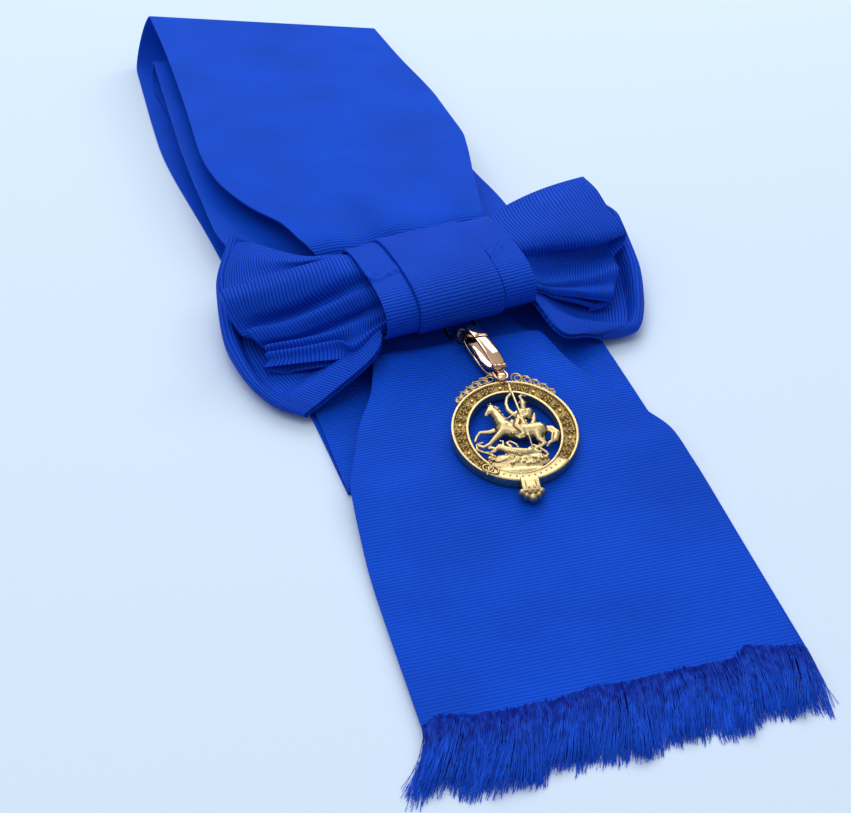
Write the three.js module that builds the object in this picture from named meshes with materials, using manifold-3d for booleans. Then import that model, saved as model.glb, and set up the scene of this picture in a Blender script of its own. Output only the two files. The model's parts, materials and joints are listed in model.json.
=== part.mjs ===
// Broad riband sash of an order, laid folded on a table: shoulder loop, two fringed tails,
// double bow with its band, clip bail and a cast oval badge.
// Millimetres, +Z up, +Y along the sash from the fringe to the far fold.
import * as THREE from 'three';
import { mergeVertices } from 'three/addons/utils/BufferGeometryUtils.js';
import Module from 'manifold-3d';

const wasm = await Module();
wasm.setup();
const { Manifold, Mesh: SolidMesh } = wasm;

// riband
const ribandWidth = 100;
const cloth = 1.1;
const clothGap = 0.35;
const loopReach = 201;
const loopHeight = 24;
const tailLength = 132;
const tailCrest = 4;
const tailStart = 18;
const crestDown = 27.06;
const crestShare = crestDown / tailLength;
const hemShare = 1.217;
// bow and its band
const bowHeight = 25;
const bowSpan = 75;
// smallest distance between the two plies of a bow loop, middle to middle
const loopGap = (cloth + clothGap) * 1.15;
const knotLength = 51;
const knotDepth = 43;
const knotHeight = 19.2;
const knotTurn = THREE.MathUtils.degToRad(8.5);
const knotLift = 1.15;
const knotStep = 0.8;
// fringe
const fringeLength = 22;
const fringeLocks = 24;
// fittings
const fittingGap = 0.3;
const bailLength = 21.3;
const bailDepth = 6.5;
const bailWidth = 5.2;
const bailWall = 0.9;
const bailLean = THREE.MathUtils.degToRad(15);
const eyeWire = 0.62;
const linkRadius = 2.25;
const linkWire = 0.5;
// badge
const ovalWidth = 37.5;
const ovalHeight = 40;
const bandWidth = 5.1;
const badgeThick = 3;
const unit = ovalHeight / 40;
const rimWidth = 0.75;
const rimRise = 0.45;
const badgeTurn = THREE.MathUtils.degToRad(-7.5);
const badgeTilt = THREE.MathUtils.degToRad(6.2);
const badgeSide = 0.9;
const badgeDrop = 22.44;
const badgeLift = 1.5;

const level = (n) => cloth / 2 + n * (cloth + clothGap);
const lerp = THREE.MathUtils.lerp;
const knotCentre = new THREE.Vector3(-4, -19.5, level(6) + knotLift + knotHeight / 2);

const silk = new THREE.MeshStandardMaterial({ name: 'royal_blue_silk', color: '#1243b4', roughness: 0.7 });
const gold = new THREE.MeshStandardMaterial({
  name: 'cast_gold', color: '#d8b869', metalness: 1, roughness: 0.32,
});
const rose = new THREE.MeshStandardMaterial({
  name: 'rose_gold', color: '#e0b088', metalness: 1, roughness: 0.12,
});
const dark = new THREE.MeshStandardMaterial({
  name: 'dark_metal', color: '#23232a', metalness: 1, roughness: 0.25,
});

const group = new THREE.Group();
group.name = 'sash_of_an_order';

function place(name, geometry, material) {
  const mesh = new THREE.Mesh(geometry, material.clone());
  mesh.name = name;
  group.add(mesh);
  return mesh;
}

// smooth value of one column of a table at t from 0 to 1, without overshoot
function column(rows, key, t) {
  const last = rows.length - 1;
  const at = Math.min(Math.max(t, 0), 1) * last;
  const i = Math.min(Math.floor(at), last - 1);
  const f = at - i;
  const rise = (k) => rows[k + 1][key] - rows[k][key];
  const slope = (k) => {
    if (k === 0) return rise(0);
    if (k === last) return rise(last - 1);
    const a = rise(k - 1);
    const b = rise(k);
    return a * b <= 0 ? 0 : (2 * a * b) / (a + b);
  };
  const p = rows[i][key];
  const q = rows[i + 1][key];
  const f2 = f * f;
  const f3 = f2 * f;
  return p * (2 * f3 - 3 * f2 + 1) + slope(i) * (f3 - 2 * f2 + f)
    + q * (3 * f2 - 2 * f3) + slope(i + 1) * (f3 - f2);
}

// closed solid of even thickness round a net of middle points
function clothSolid(net, thickness, closedAlong = false) {
  const rows = net.length;
  const cols = net[0].length;
  const positions = [];
  const point = (i, j) => net[closedAlong ? (i + rows) % rows : Math.min(Math.max(i, 0), rows - 1)][
    Math.min(Math.max(j, 0), cols - 1)];
  for (const side of [0.5, -0.5]) {
    for (let i = 0; i < rows; i += 1) {
      for (let j = 0; j < cols; j += 1) {
        const along = point(i + 1, j).clone().sub(point(i - 1, j));
        const across = point(i, j + 1).clone().sub(point(i, j - 1));
        const normal = along.cross(across).normalize();
        const p = point(i, j).clone().addScaledVector(normal, side * thickness);
        positions.push(p.x, p.y, p.z);
      }
    }
  }
  const index = [];
  const size = rows * cols;
  const id = (i, j, layer) => layer * size + (i % rows) * cols + j;
  const quad = (a, b, c, d) => index.push(a, b, c, a, c, d);
  const spans = closedAlong ? rows : rows - 1;
  for (let i = 0; i < spans; i += 1) {
    for (let j = 0; j < cols - 1; j += 1) {
      quad(id(i, j, 0), id(i + 1, j, 0), id(i + 1, j + 1, 0), id(i, j + 1, 0));
      quad(id(i, j, 1), id(i, j + 1, 1), id(i + 1, j + 1, 1), id(i + 1, j, 1));
    }
    quad(id(i, 0, 0), id(i, 0, 1), id(i + 1, 0, 1), id(i + 1, 0, 0));
    quad(id(i, cols - 1, 0), id(i + 1, cols - 1, 0), id(i + 1, cols - 1, 1), id(i, cols - 1, 1));
  }
  if (!closedAlong) {
    for (let j = 0; j < cols - 1; j += 1) {
      quad(id(0, j, 0), id(0, j + 1, 0), id(0, j + 1, 1), id(0, j, 1));
      quad(id(rows - 1, j, 0), id(rows - 1, j, 1), id(rows - 1, j + 1, 1), id(rows - 1, j + 1, 0));
    }
  }
  const geometry = new THREE.BufferGeometry();
  geometry.setAttribute('position', new THREE.Float32BufferAttribute(positions, 3));
  geometry.setIndex(index);
  return facedOut(geometry);
}

function volumeOf(geometry) {
  const p = geometry.attributes.position;
  const n = geometry.index.array;
  const a = new THREE.Vector3();
  const b = new THREE.Vector3();
  const c = new THREE.Vector3();
  let sum = 0;
  for (let i = 0; i < n.length; i += 3) {
    a.fromBufferAttribute(p, n[i]);
    b.fromBufferAttribute(p, n[i + 1]);
    c.fromBufferAttribute(p, n[i + 2]);
    sum += a.dot(b.cross(c)) / 6;
  }
  return sum;
}

function facedOut(geometry) {
  if (volumeOf(geometry) < 0) {
    const n = geometry.index.array;
    for (let i = 0; i < n.length; i += 3) {
      [n[i + 1], n[i + 2]] = [n[i + 2], n[i + 1]];
    }
  }
  geometry.computeVertexNormals();
  return geometry;
}

function toSolid(geometry) {
  const bare = geometry.clone();
  bare.deleteAttribute('normal');
  bare.deleteAttribute('uv');
  const merged = mergeVertices(bare, 1e-4);
  return new Manifold(new SolidMesh({
    numProp: 3,
    vertProperties: new Float32Array(merged.attributes.position.array),
    triVerts: new Uint32Array(merged.index.array),
  }));
}

function fromSolid(solid) {
  const mesh = solid.getMesh();
  const geometry = new THREE.BufferGeometry();
  geometry.setAttribute('position', new THREE.BufferAttribute(mesh.vertProperties, 3));
  geometry.setIndex(new THREE.BufferAttribute(mesh.triVerts, 1));
  geometry.computeVertexNormals();
  return geometry;
}

const unite = (geometries) => geometries.map(toSolid).reduce((sum, next) => sum.add(next));

// riband strips: stations hold a left and a right edge point and the depth of the pleats

// along is a share of the loop reach, or below the knot of the tail length; across is a share of the
// riband width; up is a share of the loop height
const alongAt = (share) => share * (share < 0 ? tailLength : loopReach);
function ply(rows, resting, count) {
  const stations = [];
  for (let k = 0; k < count; k += 1) {
    const t = k / (count - 1);
    const get = (key) => column(rows, key, t);
    const base = level(resting) + get('step') * (cloth + clothGap);
    const edge = (across, along, up) => new THREE.Vector3(
      across * ribandWidth, alongAt(along), base + up * (loopHeight - base));
    stations.push({
      left: edge(get('left'), get('along'), get('upLeft')),
      right: edge(get('right'), get('along') + get('skew'), get('upRight')),
      pleat: get('pleat'),
    });
  }
  return stations;
}

// stations round a fold, from the last station of one ply to the first of the next
function turn(from, to, bulge, steps) {
  const stations = [];
  for (let k = 1; k < steps; k += 1) {
    const angle = (Math.PI * k) / steps;
    const share = (1 - Math.cos(angle)) / 2;
    const bend = (side) => {
      const p = from[side].clone().lerp(to[side], share);
      const half = Math.abs(from[side].z - to[side].z) / 2;
      p.y += Math.sign(bulge) * Math.min(Math.abs(bulge), half) * Math.sin(angle);
      return p;
    };
    stations.push({ left: bend('left'), right: bend('right'), pleat: 0 });
  }
  return stations;
}

function strip(stations, columns, waves) {
  return stations.map(({ left, right, pleat }) => {
    const row = [];
    for (let j = 0; j <= columns; j += 1) {
      const v = j / columns;
      const p = left.clone().lerp(right, v);
      p.z += pleat * Math.sin(v * Math.PI * 2 * waves) * Math.sin(Math.PI * v);
      row.push(p);
    }
    return row;
  });
}

// shoulder loop: top ply, outer fold, bottom ply, near bend, third ply, inner fold, second ply
const topPly = ply([
  { along: -0.1, skew: 0, left: -0.24, right: 0.12, step: 2, upLeft: 0, upRight: 0, pleat: 0 },
  { along: 0.002, skew: 0, left: -0.31, right: 0.165, step: 2, upLeft: 0.02, upRight: 0.02, pleat: 0 },
  { along: 0.03, skew: 0, left: -0.36, right: 0.187, step: 2, upLeft: 0.16, upRight: 0.16, pleat: 0.3 },
  { along: 0.048, skew: 0, left: -0.395, right: 0.2, step: 2, upLeft: 0.52, upRight: 0.62, pleat: 0.9 },
  { along: 0.075, skew: 0, left: -0.425, right: 0.213, step: 2, upLeft: 0.62, upRight: 0.74, pleat: 1.1 },
  { along: 0.135, skew: 0, left: -0.466, right: 0.235, step: 1.5, upLeft: 0.62, upRight: 0.72, pleat: 0.9 },
  { along: 0.21, skew: 0, left: -0.566, right: 0.26, step: 1, upLeft: 0.64, upRight: 0.7, pleat: 0.6 },
  { along: 0.31, skew: 0, left: -0.652, right: 0.295, step: 0.5, upLeft: 0.7, upRight: 0.68, pleat: 0.3 },
  { along: 0.4, skew: 0, left: -0.683, right: 0.317, step: 0, upLeft: 0.78, upRight: 0.56, pleat: 0 },
  { along: 0.56, skew: 0, left: -0.692, right: 0.315, step: 0, upLeft: 0.84, upRight: 0.38, pleat: 0 },
  { along: 0.78, skew: 0, left: -0.714, right: 0.272, step: 0, upLeft: 0.94, upRight: 0.2, pleat: 0 },
  { along: 0.95, skew: 0.03, left: -0.742, right: 0.246, step: 0, upLeft: 1, upRight: 0, pleat: 0 },
], 3, 17);

const bottomPly = ply([
  { along: 0.95, skew: 0.03, left: -0.832, right: 0.17, step: 0, upLeft: 0, upRight: 0, pleat: 0 },
  { along: 0.62, skew: 0.02, left: -0.811, right: 0.185, step: 0, upLeft: 0, upRight: 0, pleat: 0 },
  { along: 0.19, skew: 0, left: -0.687, right: 0.31, step: 0, upLeft: 0, upRight: 0, pleat: 0 },
  { along: -0.411, skew: 0, left: -0.539, right: 0.45, step: 0, upLeft: 0, upRight: 0, pleat: 0 },
  { along: -0.693, skew: 0, left: -0.5, right: 0.47, step: 0, upLeft: 0, upRight: 0, pleat: 0 },
], 0, 6);

const thirdPly = ply([
  { along: -0.693, skew: 0, left: -0.5, right: 0.47, step: 0, upLeft: 0, upRight: 0, pleat: 0 },
  { along: -0.343, skew: 0, left: -0.53, right: 0.452, step: 0, upLeft: 0, upRight: 0, pleat: 0 },
  { along: 0.2, skew: 0, left: -0.58, right: 0.4, step: 0, upLeft: 0, upRight: 0, pleat: 0 },
  { along: 0.36, skew: 0, left: -0.636, right: 0.344, step: 0, upLeft: 0, upRight: 0, pleat: 0 },
  { along: 0.62, skew: 0, left: -0.72, right: 0.27, step: 0, upLeft: 0, upRight: 0, pleat: 0 },
  { along: 0.84, skew: 0.035, left: -0.78, right: 0.205, step: 0, upLeft: 0, upRight: 0, pleat: 0 },
], 1, 7);

const secondPly = ply([
  { along: 0.84, skew: 0.035, left: -0.764, right: 0.216, step: 0, upLeft: 0.51, upRight: 0, pleat: 0 },
  { along: 0.48, skew: 0, left: -0.739, right: 0.24, step: 0, upLeft: 0.42, upRight: 0.08, pleat: 0 },
  { along: 0.3, skew: 0, left: -0.71, right: 0.27, step: 0, upLeft: 0.37, upRight: 0.12, pleat: 0 },
  { along: 0.19, skew: 0, left: -0.686, right: 0.27, step: 0, upLeft: 0.32, upRight: 0.17, pleat: 0 },
  { along: 0.1, skew: 0, left: -0.58, right: 0.22, step: 1, upLeft: 0.1, upRight: 0.09, pleat: 0 },
  { along: 0.025, skew: 0, left: -0.4, right: 0.16, step: 2, upLeft: 0, upRight: 0, pleat: 0 },
  { along: -0.1, skew: 0, left: -0.26, right: 0.11, step: 2, upLeft: 0, upRight: 0, pleat: 0 },
], 2, 10);

const endOf = (stations) => stations[stations.length - 1];
const farBulge = 10;
const innerBulge = 6;
const loopStations = [
  ...topPly,
  ...turn(endOf(topPly), bottomPly[0], farBulge, 6),
  ...bottomPly,
  ...turn(endOf(bottomPly), thirdPly[0], -farBulge, 4),
  ...thirdPly,
  ...turn(endOf(thirdPly), secondPly[0], innerBulge, 4),
  ...secondPly,
];
place('sash_loop', clothSolid(strip(loopStations, 10, 2.5), cloth), silk);

// tails: along is a share of the tail length, measured from the start under the band
function tail(rows, count, columns, waves) {
  const stations = [];
  for (let k = 0; k < count; k += 1) {
    const t = k / (count - 1);
    const get = (key) => column(rows, key, t);
    const base = level(get('step'));
    const edge = (across, along, up) => new THREE.Vector3(
      across * ribandWidth, -along * tailLength - tailStart, base + up * tailCrest);
    stations.push({
      left: edge(get('left'), get('along'), get('up')),
      right: edge(get('right'), get('along'), get('up')),
      pleat: get('pleat'),
    });
  }
  return strip(stations, columns, waves);
}
const frontRows = [
  { along: 0, left: -0.27, right: 0.17, step: 3, up: 0, pleat: 0 },
  { along: crestShare * 0.537, left: -0.295, right: 0.2, step: 3, up: 0, pleat: 0 },
  { along: crestShare * 0.707, left: -0.302, right: 0.22, step: 3, up: 0.1, pleat: 0 },
  { along: crestShare * 0.854, left: -0.308, right: 0.235, step: 3, up: 0.8, pleat: 0.3 },
  { along: crestShare, left: -0.315, right: 0.248, step: 3, up: 1, pleat: 0.4 },
  { along: 0.3, left: -0.35, right: 0.285, step: 3, up: 0.72, pleat: 0.4 },
  { along: 0.4, left: -0.415, right: 0.355, step: 3, up: 0.48, pleat: 0.3 },
  { along: 0.5, left: -0.462, right: 0.44, step: 3, up: 0.2, pleat: 0.15 },
  { along: 0.58, left: -0.495, right: 0.49, step: 3, up: 0.05, pleat: 0 },
  { along: 0.7, left: -0.506, right: 0.503, step: 1.9, up: 0, pleat: 0 },
  { along: 0.85, left: -0.512, right: 0.503, step: 1, up: 0, pleat: 0 },
  { along: hemShare, left: -0.5, right: 0.503, step: 1, up: 0, pleat: 0 },
];
place('front_tail', clothSolid(tail(frontRows, 22, 10, 2.5), cloth), silk);

// height of the front tail's middle at a share of its length
function tailRise(share) {
  let low = 0;
  let high = 1;
  for (let k = 0; k < 30; k += 1) {
    const middle = (low + high) / 2;
    if (column(frontRows, 'along', middle) < share) low = middle;
    else high = middle;
  }
  return level(column(frontRows, 'step', low)) + column(frontRows, 'up', low) * tailCrest;
}

const rearTail = tail([
  { along: 0, left: -0.26, right: 0.17, step: 2, up: 0, pleat: 0 },
  { along: 0.165, left: -0.3, right: 0.215, step: 2, up: 0, pleat: 0 },
  { along: 0.25, left: -0.33, right: 0.26, step: 2, up: 0, pleat: 0 },
  { along: 0.35, left: -0.37, right: 0.32, step: 2, up: 0, pleat: 0 },
  { along: 0.45, left: -0.425, right: 0.41, step: 2, up: 0, pleat: 0 },
  { along: 0.57, left: -0.47, right: 0.47, step: 2, up: 0, pleat: 0 },
  { along: 0.66, left: -0.48, right: 0.505, step: 0.6, up: 0, pleat: 0 },
  { along: 0.72, left: -0.48, right: 0.516, step: 0, up: 0, pleat: 0 },
  { along: 0.9, left: -0.485, right: 0.516, step: 0, up: 0, pleat: 0 },
  { along: hemShare, left: -0.485, right: 0.516, step: 0, up: 0, pleat: 0 },
], 15, 7, 2);
place('rear_tail', clothSolid(rearTail, cloth), silk);

// fringe: a comb of tapered locks on a narrow head, waved up and down across the riband
function fringe(left, right, resting, lift, phase) {
  const head = -tailStart - tailLength * hemShare - clothGap;
  const pitch = (right - left) / fringeLocks;
  const headDepth = fringeLength * 0.12;
  const slit = Math.min(pitch * 0.06, 0.3);
  const shape = new THREE.Shape();
  shape.moveTo(left, head);
  const splay = (x, down) => x + ((x - right) * 0.11 + Math.sin(x * 0.9 + phase) * 0.9) * down;
  const locks = [];
  for (let k = 0; k < fringeLocks; k += 1) {
    const a = left + k * pitch + (k ? slit : 0);
    const b = left + (k + 1) * pitch - (k < fringeLocks - 1 ? slit : 0);
    const mid = (a + b) / 2;
    const long = fringeLength * (0.9 + 0.1 * Math.sin(k * 2.1 + phase));
    locks.push([a, headDepth], [lerp(a, mid, 0.06), 0.6 * long, 0.6], [lerp(a, mid, 0.45), long, 1]);
    locks.push([lerp(b, mid, 0.45), long, 1], [lerp(b, mid, 0.06), 0.6 * long, 0.6], [b, headDepth]);
  }
  locks.forEach(([x, down, share = 0]) => shape.lineTo(splay(x, share), head - down));
  shape.lineTo(right, head);
  shape.closePath();
  const geometry = new THREE.ExtrudeGeometry(shape, { depth: cloth, bevelEnabled: false });
  const p = geometry.attributes.position;
  for (let k = 0; k < p.count; k += 1) {
    const down = (head - p.getY(k)) / fringeLength;
    const wave = 0.5 + 0.5 * Math.sin(p.getX(k) * 0.42 + phase);
    const rise = lift * wave * Math.sin(Math.PI * Math.min(down, 1) * 0.8);
    p.setZ(k, p.getZ(k) + level(resting) - cloth / 2 + rise);
  }
  const bare = geometry.clone();
  bare.deleteAttribute('normal');
  bare.deleteAttribute('uv');
  return facedOut(mergeVertices(bare, 1e-4));
}
place('front_fringe', fringe(-0.5 * ribandWidth, 0.5 * ribandWidth, 1, 2.6, 0.4), silk);
place('rear_fringe', fringe(-0.48 * ribandWidth, 0.515 * ribandWidth, 0, 0, 2.2), silk);

// bow: each loop runs from the waist out to its turn and back over itself
const knotX = new THREE.Vector3(Math.cos(knotTurn), Math.sin(knotTurn), 0);
const knotY = new THREE.Vector3(-Math.sin(knotTurn), Math.cos(knotTurn), 0);

// rows go from the near edge to the far edge; out and aside are shares of the bow span,
// low and high are shares of the bow height where the turn stands
function bowLoop({
  rows, side, waistSpan, waistLow, waistHigh, sag, fall, puff, ridges, ridgeDepth, around, columns,
}) {
  const waist = side * waistOut;
  const mouth = side * (knotLength / 2 + 0.5);
  const net = [];
  const steps = 5;
  const ridge = (v) => Math.sin(v * Math.PI * 2 * ridges) * Math.sin(Math.PI * Math.min(1, v * 1.4));
  const at = (s, v, top) => {
    const get = (key) => column(rows, key, v);
    const start = knotCentre.clone()
      .addScaledVector(knotX, s < 0 ? waist : mouth)
      .addScaledVector(knotY, (v - 0.5) * waistSpan);
    const end = new THREE.Vector3(get('out') * bowSpan, get('aside') * bowSpan, 0);
    const t = Math.max(s, 0);
    const p = start.lerp(end, t);
    const high = lerp(waistHigh, get('high') * bowHeight, t ** fall)
      + puff * Math.sin(Math.PI * t) * Math.sin(Math.PI * v)
      + ridgeDepth * ridge(v) * Math.min(1, 0.35 + t * 1.2);
    const low = Math.min(lerp(waistLow, get('low') * bowHeight, t ** sag), high - loopGap);
    p.z = top ? high : low;
    return p;
  };
  const line = (s, top) => {
    const row = [];
    for (let j = 0; j <= columns; j += 1) row.push(at(s, j / columns, top));
    return row;
  };
  net.push(line(-1, 0));
  for (let k = 0; k <= steps; k += 1) net.push(line(k / steps, 0));
  for (let k = 1; k < around; k += 1) {
    const angle = (Math.PI * k) / around;
    net.push(line(1, 0).map((p, j) => {
      const top = at(1, j / columns, 1);
      const back = at(0.9, j / columns, 1);
      const out = new THREE.Vector3(top.x - back.x, top.y - back.y, 0).normalize();
      const half = (top.z - p.z) / 2;
      return new THREE.Vector3(p.x, p.y, lerp(p.z, top.z, (1 - Math.cos(angle)) / 2))
        .addScaledVector(out, Math.min(half, 2.2) * Math.sin(angle));
    }));
  }
  for (let k = steps; k >= 0; k -= 1) net.push(line(k / steps, 1));
  net.push(line(-1, 1));
  return clothSolid(net, cloth);
}

const waistOut = 9;
const bowLevel = (share) => knotCentre.z + share * knotHeight;
const bowLayers = {
  outerLow: bowLevel(-0.292),
  outerHigh: bowLevel(-0.193),
  innerLow: bowLevel(-0.08),
  innerHigh: bowLevel(0.185),
};
place('bow_left_outer', bowLoop({
  rows: [
    { out: -0.735, aside: -0.78, low: 0.13, high: 0.2 },
    { out: -0.845, aside: -0.675, low: 0.12, high: 0.215 },
    { out: -0.93, aside: -0.47, low: 0.12, high: 0.26 },
    { out: -0.965, aside: -0.22, low: 0.15, high: 0.36 },
    { out: -0.95, aside: 0.05, low: 0.27, high: 0.53 },
    { out: -0.86, aside: 0.3, low: 0.44, high: 0.74 },
  ],
  side: -1, waistSpan: 30, sag: 2, fall: 0.7, waistLow: bowLayers.outerLow, waistHigh: bowLayers.outerHigh,
  puff: 0.3, ridges: 1.5, ridgeDepth: 0, around: 4, columns: 10,
}), silk);
place('bow_left_inner', bowLoop({
  rows: [
    { out: -0.77, aside: -0.5, low: 0.445, high: 0.54 },
    { out: -0.8, aside: -0.41, low: 0.47, high: 0.61 },
    { out: -0.87, aside: -0.27, low: 0.475, high: 0.67 },
    { out: -0.93, aside: -0.12, low: 0.53, high: 0.76 },
    { out: -0.93, aside: 0.0, low: 0.6, high: 0.82 },
  ],
  side: -1, waistSpan: 32, sag: 1, fall: 1, waistLow: bowLayers.innerLow, waistHigh: bowLayers.innerHigh,
  puff: 2, ridges: 2.5, ridgeDepth: 1.3, around: 3, columns: 12,
}), silk);
place('bow_right_outer', bowLoop({
  rows: [
    { out: 0.585, aside: -0.61, low: 0.16, high: 0.24 },
    { out: 0.74, aside: -0.58, low: 0.12, high: 0.24 },
    { out: 0.84, aside: -0.38, low: 0.13, high: 0.32 },
    { out: 0.89, aside: -0.17, low: 0.2, high: 0.46 },
    { out: 0.9, aside: 0.08, low: 0.36, high: 0.64 },
    { out: 0.8, aside: 0.22, low: 0.52, high: 0.74 },
  ],
  side: 1, waistSpan: 30, sag: 1.6, fall: 0.9, waistLow: bowLayers.outerLow, waistHigh: bowLayers.outerHigh,
  puff: 0.3, ridges: 1.5, ridgeDepth: 0, around: 4, columns: 10,
}), silk);
place('bow_right_inner', bowLoop({
  rows: [
    { out: 0.76, aside: -0.38, low: 0.435, high: 0.55 },
    { out: 0.82, aside: -0.24, low: 0.5, high: 0.7 },
    { out: 0.86, aside: -0.08, low: 0.6, high: 0.86 },
    { out: 0.84, aside: 0.06, low: 0.72, high: 0.96 },
    { out: 0.75, aside: 0.22, low: 0.86, high: 1.02 },
  ],
  side: 1, waistSpan: 32, sag: 1, fall: 1, waistLow: bowLayers.innerLow, waistHigh: bowLayers.innerHigh,
  puff: 2, ridges: 1.5, ridgeDepth: 1.4, around: 3, columns: 12,
}), silk);

// band round the waist: flattened hoop, its side strips lie one fold lower than the middle
function knotBand() {
  const flatness = 2.6;
  const around = 24;
  const crease = [-0.5, -0.285, -0.275, 0.27, 0.28, 0.5];
  const net = [];
  for (let i = 0; i < around; i += 1) {
    const angle = (2 * Math.PI * i) / around;
    const power = (value) => Math.sign(value) * Math.abs(value) ** (2 / flatness);
    net.push(crease.map((share) => {
      const strip = share < -0.32 || share > 0.255;
      const size = strip ? -knotStep : 0;
      return knotCentre.clone()
        .addScaledVector(knotX, share * knotLength)
        .addScaledVector(knotY, power(Math.cos(angle)) * (knotDepth / 2 + size))
        .add(new THREE.Vector3(0, 0, power(Math.sin(angle)) * (knotHeight / 2 + size)));
    }));
  }
  return clothSolid(net, cloth, true);
}
place('knot_band', knotBand(), silk);

// fittings
function wire(points, radius, sides = 8, steps = 20) {
  const path = new THREE.CatmullRomCurve3(points.map((p) => new THREE.Vector3(...p)));
  const round = new THREE.Shape();
  for (let k = 0; k < sides; k += 1) {
    const angle = (2 * Math.PI * k) / sides;
    const x = radius * Math.cos(angle);
    const y = radius * Math.sin(angle);
    if (k) round.lineTo(x, y);
    else round.moveTo(x, y);
  }
  round.closePath();
  return new THREE.ExtrudeGeometry(round, { steps, bevelEnabled: false, extrudePath: path });
}

const badgeFromKnot = crestDown + badgeDrop + ovalHeight / 2;
const badgeCentre = new THREE.Vector3(
  badgeSide, -tailStart - badgeFromKnot, tailRise(badgeFromKnot / tailLength) + badgeLift);
// the bail lies along its own axis from the eye to the link, leaning to one side
const badgeFrame = new THREE.Matrix4()
  .makeTranslation(badgeCentre.x, badgeCentre.y, badgeCentre.z)
  .multiply(new THREE.Matrix4().makeRotationX(badgeTilt))
  .multiply(new THREE.Matrix4().makeRotationZ(badgeTurn));
const lugHeight = ovalHeight / 2 + 1.95 * unit;
const lugLift = badgeThick / 2 + 0.9 * unit;
const lugRadius = 1.75 * unit;
const linkCentre = new THREE.Vector3(0, lugHeight + lugRadius + linkWire / 2, lugLift)
  .applyMatrix4(badgeFrame);
const bailFoot = linkCentre.clone().add(new THREE.Vector3(-0.15, 0.75, 0.1));
const bailAxis = new THREE.Vector3(-0.22, 1, 0.17).normalize();
const bailFace = new THREE.Vector3(Math.sin(bailLean), 0, Math.cos(bailLean));
bailFace.addScaledVector(bailAxis, -bailFace.dot(bailAxis)).normalize();
const bailSide = new THREE.Vector3().crossVectors(bailAxis, bailFace).normalize();
const bailCentre = bailFoot.clone().addScaledVector(bailAxis, bailLength / 2 - bailWall / 2);

// point of the oval at an angle from the face side, towards the eye
function bailPoint(angle) {
  const c = Math.cos(angle);
  const s = Math.sin(angle);
  const reach = Math.sign(s) * Math.abs(s) ** 0.8 * (bailLength - bailWall) / 2;
  const depth = Math.sign(c) * Math.abs(c) ** 0.8 * (bailDepth - bailWall) / 2;
  return bailCentre.clone().addScaledVector(bailAxis, reach).addScaledVector(bailFace, depth);
}

function bailStrip(from, to, steps) {
  const net = [];
  for (let k = 0; k <= steps; k += 1) {
    const angle = lerp(from, to, k / steps);
    const narrow = Math.abs(Math.sin(angle)) ** 6;
    const half = (bailWidth * (1 - 0.62 * narrow)) / 2;
    const p = bailPoint(angle);
    net.push([p.clone().addScaledVector(bailSide, -half), p.clone().addScaledVector(bailSide, half)]);
  }
  return clothSolid(net, bailWall);
}

const seamAngle = THREE.MathUtils.degToRad(14);
const hingeAngle = THREE.MathUtils.degToRad(-58);
const hingePin = 0.4;
const hingeBarrel = 0.85;
function acrossBail(centre, radius, from, to, sides = 10) {
  const rod = new THREE.CylinderGeometry(radius, radius, to - from, sides);
  rod.applyQuaternion(new THREE.Quaternion().setFromUnitVectors(new THREE.Vector3(0, 1, 0), bailSide));
  const p = centre.clone().addScaledVector(bailSide, (from + to) / 2);
  return rod.translate(p.x, p.y, p.z);
}
const hinge = bailPoint(hingeAngle);
const knuckle = bailWidth * 0.36;
const clearBarrel = hingeBarrel + fittingGap;
const full = bailWidth / 2;
const bailBody = unite([
  bailStrip(seamAngle, 2 * Math.PI + hingeAngle, 20),
  acrossBail(hinge, hingeBarrel, -full * 0.86, -knuckle / 2 - 0.15),
  acrossBail(hinge, hingeBarrel, knuckle / 2 + 0.15, full * 0.86),
])
  .subtract(toSolid(acrossBail(hinge, clearBarrel, -knuckle / 2 - 0.15, knuckle / 2 + 0.15)))
  .add(toSolid(acrossBail(hinge, hingePin, -full * 0.8, full * 0.8)));
place('bail_body', fromSolid(bailBody), rose);

const seamGap = 0.035;
const bailLeaf = toSolid(bailStrip(seamAngle - seamGap, hingeAngle, 9))
  .subtract(toSolid(acrossBail(hinge, clearBarrel, -full * 1.1, -knuckle / 2)))
  .subtract(toSolid(acrossBail(hinge, clearBarrel, knuckle / 2, full * 1.1)))
  .add(toSolid(acrossBail(hinge, hingeBarrel, -knuckle / 2, knuckle / 2)))
  .subtract(toSolid(acrossBail(hinge, hingePin + 0.2, -full, full)));
place('bail_leaf', fromSolid(bailLeaf), rose);

const link = new THREE.TorusGeometry(linkRadius, linkWire, 6, 16);
link.applyQuaternion(new THREE.Quaternion().setFromUnitVectors(new THREE.Vector3(0, 0, 1), bailFace));
link.translate(linkCentre.x, linkCentre.y, linkCentre.z);
place('badge_link', link, rose);

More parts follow.
